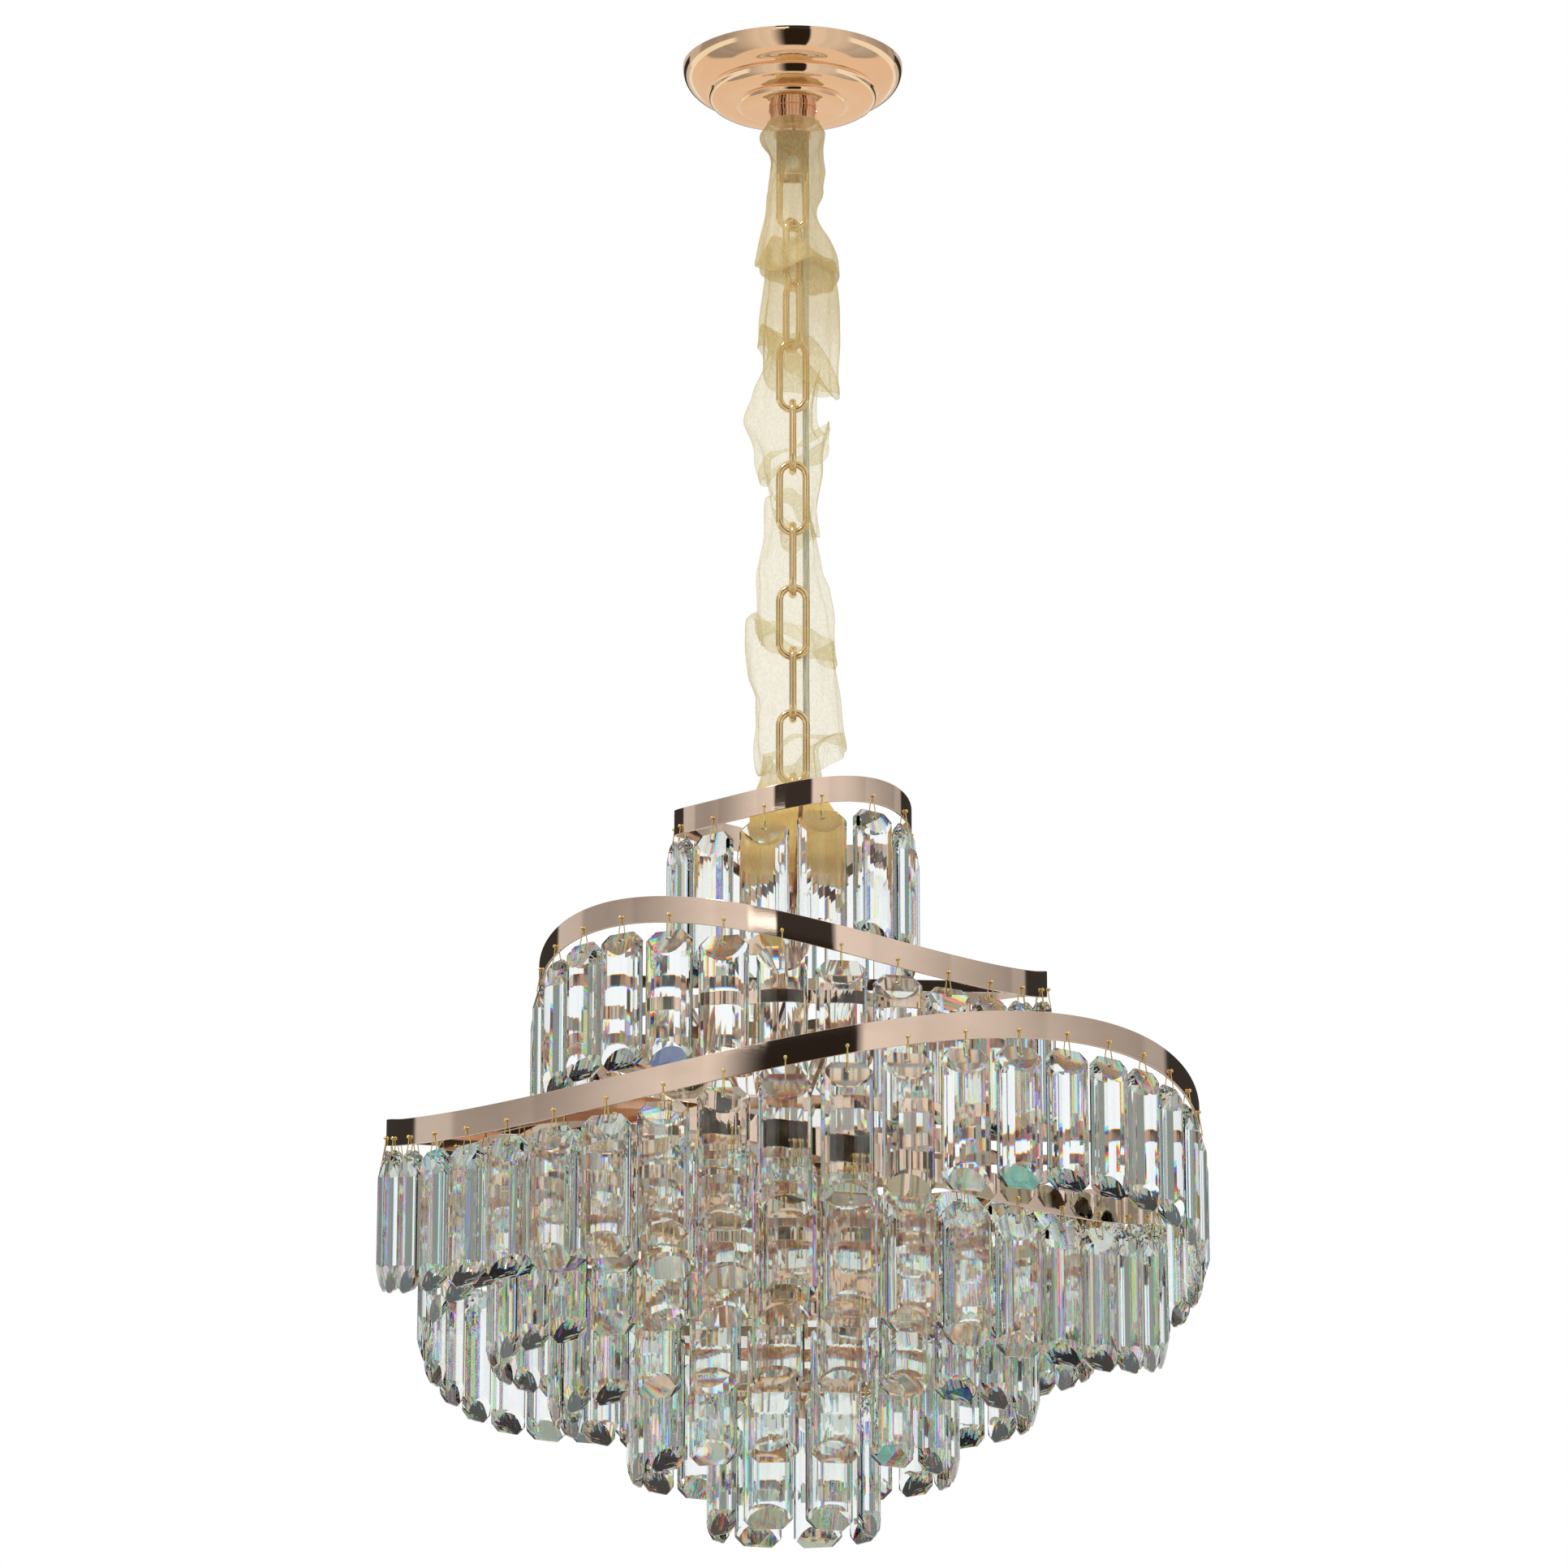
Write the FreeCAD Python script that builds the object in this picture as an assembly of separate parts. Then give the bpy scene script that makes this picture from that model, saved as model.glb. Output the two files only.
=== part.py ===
import FreeCAD, Part
import math
import os

from FreeCAD import Vector

# Crystal chandelier on a chain, in millimetres. The ceiling is the plane z = 0 and the lamp
# hangs down the -Z axis. Angles round the axis start at the front (-Y) and grow towards +X.

# Prisms
prism_width = 30.0
prism_length = 82.0
prism_half_depth = 5.5
prism_edge_half_depth = 1.6
prism_flat_half_width = 4.5
prism_shoulder_half_width = 10.0
prism_shoulder_half_depth = 4.3
prism_corner_cut = 6.0
prism_ridge_half_depth = 0.8
prism_bevel_length = 14.5
prism_hole_radius = 1.3
prism_hole_below_top = 5.0

# Bent wire pins that carry the prisms
pin_wire_radius = 0.45
pin_bend_radius = 0.8
pin_strip_hole_radius = 1.0
pin_face_clearance = 0.4
pin_tip_inset = 1.1
pin_leg_clearance = 0.75
pin_hole_above_edge = 4.5
prism_gap_below_strip = 5.0

# Wavy hoops, from the top down; a drop is from the column cap's top to the mean top edge
strip_thickness = 1.5
hoop_height = 16.0
hoop_1_radius = 73.0
hoop_1_drop = 4.5
hoop_1_wave = 7.0
hoop_1_count = 13
hoop_2_radius = 155.0
hoop_2_drop = 105.5
hoop_2_wave = -18.0
hoop_2_count = 28
hoop_3_radius = 246.0
hoop_3_drop = 197.5
hoop_3_wave = 25.0
hoop_3_count = 44
hoop_3_first_angle = -1.1
hoop_4_radius = 221.0
hoop_4_drop = 242.5
hoop_4_wave = -26.0
hoop_4_count = 40
hoop_path_points = 48

# Level rings under the hoops
ring_height = 8.0
ring_5_radius = 180.0
ring_5_drop = 257.5
ring_5_count = 32
ring_6_radius = 143.0
ring_6_drop = 289.5
ring_6_count = 24
ring_7_radius = 95.0
ring_7_drop = 323.5
ring_7_count = 16
ring_8_radius = 48.0
ring_8_drop = 356.5
ring_8_count = 8

# Inner stiffening rings without prisms
inner_ring_radii = [130.0, 171.0, 143.0]
inner_ring_drops = [145.5, 216.5, 231.5]
ring_nut_radius = 3.2
ring_nut_length = 3.5

# Arms that carry hoops and rings from the column
arm_angle = 4.0
arms_per_level = 4
arm_thickness = 2.5
hoop_arm_height = 7.0
ring_arm_height = 6.0
top_arm_hub_drop = 50.0

# Column
column_radius = 5.0
column_wall = 1.2
hub_radius = 9.0
hub_height = 9.0
column_cap_radius = 14.0
column_cap_height = 14.0
column_tail = 4.0
end_nut_radius = 8.0
end_nut_height = 12.0

# Chain
link_wire_radius = 2.2
link_length = 49.2
link_width = 21.0
link_play = 0.2
link_turns = [0, 60, 120, 0, 90, 0, 90, 0, 90, 0]
upper_link_count = 4
lower_link_count = 5
loop_wire_radius = 2.0
loop_radius = 8.0
loop_stem_radius = 2.8
loop_stem_depth = 7.0

# Canopy and its fixings
canopy_radius = 70.0
canopy_crease_radius = 55.0
canopy_crease_depth = 19.5
canopy_step_radius = 32.0
canopy_depth = 29.0
canopy_rim_height = 3.0
canopy_bulge_radius = 64.3
canopy_bulge_depth = 12.9
canopy_shelf_radius = 45.5
canopy_shelf_depth = 25.4
canopy_wall = 1.0
nipple_radius = 5.0
nipple_bore_radius = 3.5
canopy_bore_clearance = 0.4
bracket_length = 112.0
bracket_width = 24.0
bracket_thickness = 2.0
bracket_slot_length = 16.0
bracket_slot_width = 5.0
bracket_slot_spacing = 80.0
nut_across_corners = 17.0
nut_height = 3.5
collar_radius = 15.0
collar_height = 4.5
lock_ring_radius = 14.2
lock_ring_height = 4.5
knurl_count = 48
knurl_depth = 0.5
flange_radius = 12.0
flange_height = 9.5
flange_waist_radius = 7.5
flange_rim_height = 1.5
flange_curve_radius = 8.5
flange_curve_height = 4.5
hanger_width = 20.5
hanger_thickness = 1.5
hanger_inside = 16.4
hanger_pin_below_roof = 20.0
hanger_leg_below_pin = 6.5
hanger_pin_radius = 2.3
hanger_pin_head_radius = 4.2
hanger_pin_head_length = 2.5
gland_radius = 5.0
gland_height = 3.0
gland_mouth_radius = 3.0
cable_clearance = 0.1
terminal_length = 24.0
terminal_width = 16.0
terminal_height = 11.0
terminal_offset = 33.0
terminal_ways = 3
terminal_well_radius = 1.7
terminal_well_depth = 4.0

# Supply cable: chosen points from the nipple down to the column cap, beside the links
cable_radius = 2.0
cable_points = [
    (0.9, 0.9, -6.0),
    (0.9, 0.9, -56.0),
    (6.2, 5.8, -67.5),
    (8.1, 4.9, -86.0),
    (8.6, 5.0, -118.0),
    (8.1, 4.8, -156.0),
    (8.5, 5.0, -196.0),
    (8.0, 5.3, -236.0),
    (8.6, 6.0, -276.0),
    (8.1, 5.2, -316.0),
    (8.7, 5.7, -356.0),
    (8.1, 5.1, -396.0),
    (8.5, 5.6, -434.0),
    (8.4, 5.0, -466.0),
    (8.4, 5.0, -493.0),
]
cable_bend_share = 0.45

# Organza sleeve: how far down in percent, left and right reach of each gathered section
sleeve_sections = [
    (2.0, -19.8, 20.4),
    (11.0, -16.6, 16.4),
    (19.3, -21.4, 26.0),
    (33.6, -24.0, 29.6),
    (41.5, -30.0, 22.8),
    (45.9, -21.3, 26.5),
    (54.9, -22.2, 15.4),
    (65.7, -23.7, 21.7),
    (71.1, -30.6, 25.2),
    (77.7, -26.1, 30.2),
    (86.3, -18.8, 31.6),
    (90.6, -17.8, 17.6),
    (96.0, -25.0, 27.0),
]
sleeve_wall = 0.8
sleeve_fold_count = 8
sleeve_fold_out = 1.0
sleeve_fold_in = 0.88
sleeve_depth_share = 0.96
sleeve_neck_radius = 15.6
sleeve_seat_gap = 0.3
sleeve_end_drop = 34.5
sleeve_end_reach = 22.0

# Lamps
lamp_count = 8
lamp_circle_radius = 75.0
lamp_hub_radius = 22.0
lamp_hub_drop = 269.5
lamp_hub_height = 17.0
lamp_hub_chamfer = 5.0
lamp_hub_shoulder_radius = 18.7
lamp_hub_shoulder_drop = 2.6
lamp_arm_radius = 4.0
lamp_arm_bend = 9.0
lamp_arm_rise = 13.0
cup_radius = 19.0
cup_height = 8.0
cup_stem_radius = 7.0
cup_bulge_radius = 13.7
cup_bulge_height = 2.4
cup_lip = 1.0
cup_rim_drop = 0.5
cup_seat_depth = 2.0
candle_radius = 12.0
candle_wall = 0.7
candle_height = 60.0
holder_radius = 10.5
holder_below_candle_top = 2.0
holder_socket_radius = 7.3
holder_socket_depth = 26.0
bulb_cap_radius = 6.9
bulb_cap_height = 26.5
bulb_radius = 17.5
bulb_glass_height = 74.0
bulb_widest_height = 31.0
bulb_lower_radius = 15.0
bulb_lower_height = 15.0
bulb_upper_radius = 11.0
bulb_upper_height = 57.5
bulb_tip_radius = 0.6
dish_radius = 60.0
dish_rim_below_hub = 1.5
dish_depth = 19.0
dish_wall = 1.2
dish_foot_radius = 12.0
dish_curve_radius = 41.0
dish_curve_height = 6.1

# Worked out from the sizes above
pin_span = pin_hole_above_edge + prism_gap_below_strip + prism_hole_below_top
link_centre_length = link_length - 2 * link_wire_radius
link_bend_radius = link_width / 2 - link_wire_radius
link_pitch = link_centre_length - 2 * link_wire_radius - link_play
collar_top = -canopy_depth
lock_ring_top = collar_top - collar_height
flange_top = lock_ring_top - lock_ring_height
hanger_roof_top = flange_top - flange_height
hanger_roof_bottom = hanger_roof_top - hanger_thickness
nipple_end = hanger_roof_bottom - nut_height
hanger_pin_z = hanger_roof_bottom - hanger_pin_below_roof
first_link_top = hanger_pin_z + hanger_pin_radius + link_play + link_wire_radius
last_link_top = first_link_top - (len(link_turns) - 1) * link_pitch
last_link_bottom = last_link_top - link_centre_length
loop_centre_z = (
    last_link_bottom + link_wire_radius + link_play + loop_wire_radius - loop_radius
)
cap_top = loop_centre_z - loop_radius - loop_wire_radius
cap_bottom = cap_top - column_cap_height
column_bottom = cap_top - ring_8_drop - ring_height - column_tail
sleeve_top = flange_top - sleeve_seat_gap
sleeve_end = cap_top - sleeve_end_drop
lamp_hub_top = cap_top - lamp_hub_drop
lamp_arm_z = lamp_hub_top - lamp_hub_height / 2
cup_low = lamp_arm_z + lamp_arm_rise
candle_low = cup_low + cup_height - cup_seat_depth
holder_top = candle_low + candle_height - holder_below_candle_top
bulb_cap_low = holder_top - holder_socket_depth
bulb_low = bulb_cap_low + bulb_cap_height
dish_rim = cap_top - ring_6_drop - ring_height / 2 - hub_height / 2 - dish_rim_below_hub

# Radius, drop, wave height, prisms, first angle
hoops = [
    (hoop_1_radius, hoop_1_drop, hoop_1_wave, hoop_1_count, 180.0 / hoop_1_count),
    (hoop_2_radius, hoop_2_drop, hoop_2_wave, hoop_2_count, arm_angle - 180.0 / hoop_2_count),
    (hoop_3_radius, hoop_3_drop, hoop_3_wave, hoop_3_count, hoop_3_first_angle),
    (hoop_4_radius, hoop_4_drop, hoop_4_wave, hoop_4_count, arm_angle + 180.0 / hoop_4_count),
]
# Radius, drop, prisms
rings = [
    (ring_5_radius, ring_5_drop, ring_5_count),
    (ring_6_radius, ring_6_drop, ring_6_count),
    (ring_7_radius, ring_7_drop, ring_7_count),
    (ring_8_radius, ring_8_drop, ring_8_count),
]


def around(radius, angle, z=0.0):
    """Point at a radius and an angle from the front, in degrees."""
    turn = math.radians(angle)
    return Vector(radius * math.sin(turn), -radius * math.cos(turn), z)


def turned_to(shape, angle, place=None):
    """Copy of a shape modelled at the front, turned to an angle and then moved."""
    copy = shape.copy()
    copy.rotate(Vector(), Vector(0, 0, 1), angle)
    if place is not None:
        copy.translate(place)
    return copy


def tube(outer, inner, low, high):
    """Upright tube between two heights; an inner radius of 0 gives a rod."""
    body = Part.makeCylinder(outer, high - low, Vector(0, 0, low))
    if inner > 0:
        body = body.cut(Part.makeCylinder(inner, high - low, Vector(0, 0, low)))
    return body


def revolved(edges):
    """Solid of revolution round Z from edges of a closed profile in the XZ plane."""
    return Part.Face(Part.Wire(edges)).revolve(Vector(), Vector(0, 0, 1), 360)


def line(x1, z1, x2, z2):
    return Part.LineSegment(Vector(x1, 0, z1), Vector(x2, 0, z2)).toShape()


def arc(x1, z1, x2, z2, x3, z3):
    return Part.Arc(Vector(x1, 0, z1), Vector(x2, 0, z2), Vector(x3, 0, z3)).toShape()


def curve(first, middle, last):
    """Arc edge through three points."""
    return Part.Arc(first, middle, last).toShape()


def inset(points, wall):
    """Points of the arc that lies a wall nearer the centre than the arc through three points."""
    circle = curve(*points).Curve
    share = 1 - wall / circle.Radius
    return [circle.Center + (point - circle.Center) * share for point in points]


def hexagon(corner_radius, low, high, bore):
    """Hexagon nut between two heights, with flats at its front and back."""
    points = [around(corner_radius, 60 * k + 30, low) for k in range(7)]
    body = Part.Face(Part.makePolygon(points)).extrude(Vector(0, 0, high - low))
    return body.cut(Part.makeCylinder(bore, high - low, Vector(0, 0, low)))


def knurled(radius, low, high, bore):
    """Ring with a knurled rim."""
    points = []
    for k in range(2 * knurl_count + 1):
        reach = radius - knurl_depth * (k % 2)
        points.append(around(reach, 180.0 * k / knurl_count, low))
    body = Part.Face(Part.makePolygon(points)).extrude(Vector(0, 0, high - low))
    return body.cut(Part.makeCylinder(bore, high - low, Vector(0, 0, low)))


def rounded_path(points, radii):
    """Wire of straight runs joined by tangent arcs, one radius for each inner point."""
    edges = []
    start = points[0]
    for before, corner, after, radius in zip(points, points[1:], points[2:], radii):
        back = (before - corner).normalize()
        ahead = (after - corner).normalize()
        half = back.getAngle(ahead) / 2
        reach = radius / math.tan(half)
        centre = corner + (back + ahead).normalize() * (radius / math.sin(half))
        first = corner + back * reach
        middle = centre + (corner - centre).normalize() * radius
        last = corner + ahead * reach
        edges.append(Part.LineSegment(start, first).toShape())
        edges.append(Part.Arc(first, middle, last).toShape())
        start = last
    edges.append(Part.LineSegment(start, points[-1]).toShape())
    return Part.Wire(edges)


def swept(path, radius):
    """Round bar along a path."""
    start = path.Edges[0].valueAt(path.Edges[0].FirstParameter)
    heading = path.Edges[0].tangentAt(path.Edges[0].FirstParameter)
    section = Part.Wire(Part.makeCircle(radius, start, heading))
    return path.makePipeShell([section], True, False)


def wave_height(wave, angle):
    """Rise of a hoop above its mean height at an angle from the front."""
    return wave * math.sin(math.radians(2 * angle))


# Prism and its pin, modelled at the front with the prism's hole at the origin


def prism():
    """Cut bar: faceted front and back, bevelled ends that leave a ridge, cut corners, one hole."""
    half = prism_width / 2
    quarter = [
        (half, prism_edge_half_depth),
        (prism_shoulder_half_width, prism_shoulder_half_depth),
        (prism_flat_half_width, prism_half_depth),
    ]
    outline = list(quarter)
    outline += [(-x, y) for x, y in reversed(quarter)]
    outline += [(-x, -y) for x, y in quarter]
    outline += [(x, -y) for x, y in reversed(quarter)]
    top = prism_hole_below_top
    bottom = top - prism_length
    points = [Vector(x, y, bottom) for x, y in outline]
    bar = Part.Face(Part.makePolygon(points + points[:1])).extrude(Vector(0, 0, prism_length))

    side = [
        (prism_ridge_half_depth, top),
        (prism_half_depth, top - prism_bevel_length),
        (prism_half_depth, bottom + prism_bevel_length),
        (prism_ridge_half_depth, bottom),
        (-prism_ridge_half_depth, bottom),
        (-prism_half_depth, bottom + prism_bevel_length),
        (-prism_half_depth, top - prism_bevel_length),
        (-prism_ridge_half_depth, top),
    ]
    points = [Vector(-half, y, z) for y, z in side]
    bevels = Part.Face(Part.makePolygon(points + points[:1])).extrude(Vector(prism_width, 0, 0))

    cut = prism_corner_cut
    front = [
        (half - cut, top),
        (half, top - cut),
        (half, bottom + cut),
        (half - cut, bottom),
        (cut - half, bottom),
        (-half, bottom + cut),
        (-half, top - cut),
        (cut - half, top),
    ]
    depth = 2 * prism_half_depth
    points = [Vector(x, -prism_half_depth, z) for x, z in front]
    corners = Part.Face(Part.makePolygon(points + points[:1])).extrude(Vector(0, depth, 0))

    hole = Part.makeCylinder(
        prism_hole_radius, depth, Vector(0, -prism_half_depth, 0), Vector(0, 1, 0)
    )
    return bar.common(bevels).common(corners).cut(hole)


def pin():
    """Wire bent over the strip, with a leg in front of the prism and one behind it."""
    slope = (prism_half_depth - prism_ridge_half_depth) / prism_bevel_length
    depth_at_hole = prism_ridge_half_depth + slope * prism_hole_below_top
    foot = depth_at_hole + pin_leg_clearance + pin_wire_radius
    head = strip_thickness / 2 + pin_face_clearance + pin_wire_radius
    points = [
        Vector(0, -pin_tip_inset, 0),
        Vector(0, -foot, 0),
        Vector(0, -head, pin_span),
        Vector(0, head, pin_span),
        Vector(0, foot, 0),
        Vector(0, pin_tip_inset, 0),
    ]
    return swept(rounded_path(points, [pin_bend_radius] * 4), pin_wire_radius)


def hanging_places(radius, strip_bottom, wave, count, first_angle):
    """Angle and prism-hole place of each prism on one strip."""
    middle = radius - strip_thickness / 2
    places = []
    for k in range(count):
        angle = first_angle + 360.0 * k / count
        drop = pin_span - pin_hole_above_edge
        z = strip_bottom + wave_height(wave, angle) - drop
        places.append((angle, around(middle, angle, z)))
    return places


def drilled(strip, places, radius):
    """Strip with a hole for each pin."""
    for angle, place in places:
        start = around(radius - 2 * strip_thickness, angle, place.z + pin_span)
        heading = around(1.0, angle)
        drill = Part.makeCylinder(pin_strip_hole_radius, 3 * strip_thickness, start, heading)
        strip = strip.cut(drill)
    return strip


# Hoops and rings


def wavy_strip(radius, top, wave):
    """Upright strip that follows a circle in plan and waves up and down."""
    middle = radius - strip_thickness / 2
    low = top - hoop_height
    points = []
    for k in range(hoop_path_points):
        angle = 360.0 * k / hoop_path_points
        points.append(around(middle, angle, low + wave_height(wave, angle)))
    curve = Part.BSplineCurve()
    curve.interpolate(Points=points, PeriodicFlag=True)
    half = strip_thickness / 2
    start = points[0]
    corners = [
        start + Vector(0, -half, 0),
        start + Vector(0, half, 0),
        start + Vector(0, half, hoop_height),
        start + Vector(0, -half, hoop_height),
    ]
    sweep = Part.BRepOffsetAPI.MakePipeShell(Part.Wire(curve.toShape()))
    sweep.setBiNormalMode(Vector(0, 0, 1))
    sweep.add(Part.makePolygon(corners + corners[:1]))
    sweep.build()
    sweep.makeSolid()
    return sweep.shape()


def level_strip(radius, top):
    return tube(radius, radius - strip_thickness, top - ring_height, top)


def arm_set(radius, inner_z, outer_z, height):
    """Flat bars on edge, from the hub to the inside of a strip; outer_z may be higher than inner_z."""
    inside = radius - strip_thickness
    rise = outer_z - inner_z
    run = inside - hub_radius
    slope = rise / run
    low = inner_z - height / 2 - slope * hub_radius
    high = low + slope * radius
    points = [
        Vector(-arm_thickness / 2, 0, low),
        Vector(-arm_thickness / 2, -radius, high),
        Vector(-arm_thickness / 2, -radius, high + height),
        Vector(-arm_thickness / 2, 0, low + height),
    ]
    bar = Part.Face(Part.makePolygon(points + points[:1])).extrude(Vector(arm_thickness, 0, 0))
    tall = abs(rise) + 3 * height
    base = min(inner_z, outer_z) - 1.5 * height
    bar = bar.common(Part.makeCylinder(inside, tall, Vector(0, 0, base)))
    bar = bar.cut(Part.makeCylinder(hub_radius, tall, Vector(0, 0, base)))
    return [
        turned_to(bar, arm_angle + 360.0 * k / arms_per_level) for k in range(arms_per_level)
    ]


def hub(z):
    return tube(hub_radius, column_radius, z - hub_height / 2, z + hub_height / 2)


# Chain, sleeve and cable


def chain_link(top, turn):
    """One oval link; top is the height of the wire's centre line at the upper end."""
    bend = link_bend_radius
    upper = top - bend
    lower = top - link_centre_length + bend
    edges = [
        line(bend, lower, bend, upper),
        arc(bend, upper, 0, upper + bend, -bend, upper),
        line(-bend, upper, -bend, lower),
        arc(-bend, lower, 0, lower - bend, bend, lower),
    ]
    section = Part.Wire(
        Part.makeCircle(link_wire_radius, Vector(bend, 0, lower), Vector(0, 0, 1))
    )
    link = Part.Wire(edges).makePipeShell([section], True, False)
    return turned_to(link, turn)


def links(first, count):
    numbers = range(first, first + count)
    return [chain_link(first_link_top - link_pitch * k, link_turns[k]) for k in numbers]


def top_loop():
    """Eye under the last link, with a short stem into the column cap."""
    eye = Part.makeTorus(
        loop_radius, loop_wire_radius, Vector(0, 0, loop_centre_z), Vector(1, 0, 0)
    )
    stem_top = loop_centre_z - loop_radius
    stem = tube(loop_stem_radius, 0, cap_top - loop_stem_depth, stem_top)
    return eye.fuse(stem)


def fold_section(z, left, right, shrink):
    """Scalloped outline of the gathered cloth at one height."""
    middle = (left + right) / 2
    half_width = (right - left) / 2
    half_depth = half_width * sleeve_depth_share
    points = []
    for k in range(2 * sleeve_fold_count + 1):
        turn = math.pi * k / sleeve_fold_count
        share = sleeve_fold_in if k % 2 == 0 else sleeve_fold_out
        x = middle + (half_width * share - shrink) * math.sin(turn)
        y = -(half_depth * share - shrink) * math.cos(turn)
        points.append(Vector(x, y, z))
    edges = []
    for k in range(sleeve_fold_count):
        first, crest, last = points[2 * k : 2 * k + 3]
        edges.append(Part.Arc(first, crest, last).toShape())
    return Part.Wire(edges)


def sleeve():
    """Gathered cloth tube from under the lock ring to the foot of the first arms."""
    sections = [(sleeve_top, -sleeve_neck_radius, sleeve_neck_radius)]
    for percent, left, right in sleeve_sections:
        z = sleeve_top + (sleeve_end - sleeve_top) * percent / 100
        sections.append((z, left, right))
    sections.append((sleeve_end, -sleeve_end_reach, sleeve_end_reach))
    outer = Part.makeLoft([fold_section(*s, 0.0) for s in sections], True, True)
    inner = Part.makeLoft([fold_section(*s, sleeve_wall) for s in sections], True, True)
    return outer.cut(inner)


def cable():
    """Supply cable along its chosen points, with arcs as large as the runs allow."""
    points = [Vector(*p) for p in cable_points]
    radii = []
    for before, corner, after in zip(points, points[1:], points[2:]):
        back = before - corner
        ahead = after - corner
        half_turn = (math.pi - back.getAngle(ahead)) / 2
        shorter = min(back.Length, ahead.Length)
        radii.append(cable_bend_share * shorter / math.tan(half_turn))
    path = rounded_path(points, radii)
    body = swept(path, cable_radius)
    expected = math.pi * cable_radius**2 * path.Length
    print("cable length", round(path.Length, 1), "volume share", round(body.Volume / expected, 4))
    print("cable bend radii", [round(r, 1) for r in radii])
    return body


# Ceiling parts


def ceiling_bracket():
    """Flat bar with two slots for ceiling screws and a hole for the nipple."""
    body = Part.makeBox(
        bracket_length,
        bracket_width,
        bracket_thickness,
        Vector(-bracket_length / 2, -bracket_width / 2, -bracket_thickness),
    )
    body = body.cut(tube(nipple_radius, 0, -bracket_thickness, 0))
    reach = (bracket_slot_length - bracket_slot_width) / 2
    for side in (-1, 1):
        middle = side * bracket_slot_spacing / 2
        for shift in (-reach, reach):
            end = tube(bracket_slot_width / 2, 0, -bracket_thickness, 0)
            end.translate(Vector(middle + shift, 0, 0))
            body = body.cut(end)
        slot = Part.makeBox(
            2 * reach,
            bracket_slot_width,
            bracket_thickness,
            Vector(middle - reach, -bracket_slot_width / 2, -bracket_thickness),
        )
        body = body.cut(slot)
    return body


def canopy():
    """Stepped spun cover, open at the ceiling."""
    rim = Vector(canopy_radius, 0, -canopy_rim_height)
    bulge = Vector(canopy_bulge_radius, 0, -canopy_bulge_depth)
    crease = Vector(canopy_crease_radius, 0, -canopy_crease_depth)
    shelf = Vector(canopy_shelf_radius, 0, -canopy_shelf_depth)
    step = Vector(canopy_step_radius, 0, -canopy_depth)
    bore = nipple_radius + canopy_bore_clearance
    inner_rim, inner_bulge, upper_crease = inset([rim, bulge, crease], canopy_wall)
    lower_crease, inner_shelf, inner_step = inset([crease, shelf, step], canopy_wall)
    return revolved(
        [
            line(rim.x, 0, rim.x, rim.z),
            curve(rim, bulge, crease),
            curve(crease, shelf, step),
            line(step.x, step.z, bore, step.z),
            line(bore, step.z, bore, inner_step.z),
            line(bore, inner_step.z, inner_step.x, inner_step.z),
            curve(inner_step, inner_shelf, lower_crease),
            line(lower_crease.x, lower_crease.z, upper_crease.x, upper_crease.z),
            curve(upper_crease, inner_bulge, inner_rim),
            line(inner_rim.x, inner_rim.z, inner_rim.x, 0),
            line(inner_rim.x, 0, rim.x, 0),
        ]
    )


def flange():
    """Bell-shaped cup between the lock ring and the hanger."""
    low = flange_top - flange_height
    waist = flange_waist_radius
    rim = flange_radius
    rim_top = low + flange_rim_height
    return revolved(
        [
            line(nipple_radius, flange_top, waist, flange_top),
            arc(waist, flange_top, flange_curve_radius, low + flange_curve_height, rim, rim_top),
            line(rim, rim_top, rim, low),
            line(rim, low, nipple_radius, low),
            line(nipple_radius, low, nipple_radius, flange_top),
        ]
    )


def hanger():
    """U-shaped strap under the flange with a cross hole for its pin."""
    half = hanger_inside / 2
    legs_end = hanger_pin_z - hanger_leg_below_pin
    outside = Part.makeBox(
        hanger_width,
        hanger_inside + 2 * hanger_thickness,
        hanger_roof_top - legs_end,
        Vector(-hanger_width / 2, -half - hanger_thickness, legs_end),
    )
    inside = Part.makeBox(
        hanger_width,
        hanger_inside,
        hanger_roof_bottom - legs_end,
        Vector(-hanger_width / 2, -half, legs_end),
    )
    body = outside.cut(inside)
    body = body.cut(tube(nipple_radius, 0, hanger_roof_bottom, hanger_roof_top))
    reach = half + hanger_thickness
    cross = Part.makeCylinder(
        hanger_pin_radius, 2 * reach, Vector(0, -reach, hanger_pin_z), Vector(0, 1, 0)
    )
    return body.cut(cross)


def hanger_pin():
    """Headed pin through the strap, with a nut at its back."""
    reach = hanger_inside / 2 + hanger_thickness
    total = 2 * reach + 2 * hanger_pin_head_length
    start = Vector(0, -reach - hanger_pin_head_length, hanger_pin_z)
    shaft = Part.makeCylinder(hanger_pin_radius, total, start, Vector(0, 1, 0))
    head = Part.makeCylinder(
        hanger_pin_head_radius, hanger_pin_head_length, start, Vector(0, 1, 0)
    )
    nut = hexagon(hanger_pin_head_radius, 0, hanger_pin_head_length, hanger_pin_radius)
    nut.rotate(Vector(), Vector(1, 0, 0), -90)
    nut.translate(Vector(0, reach, hanger_pin_z))
    return shaft.fuse(head).fuse(nut)


def gland():
    """Short gland on the nipple's end, centred on the cable, with a flared mouth."""
    low = nipple_end - gland_height
    body = tube(gland_radius, 0, low, nipple_end)
    flare = Part.makeCone(
        gland_mouth_radius, cable_radius + cable_clearance, gland_height,
        Vector(cable_points[0][0], cable_points[0][1], low),
    )
    return body.cut(flare)


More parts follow.
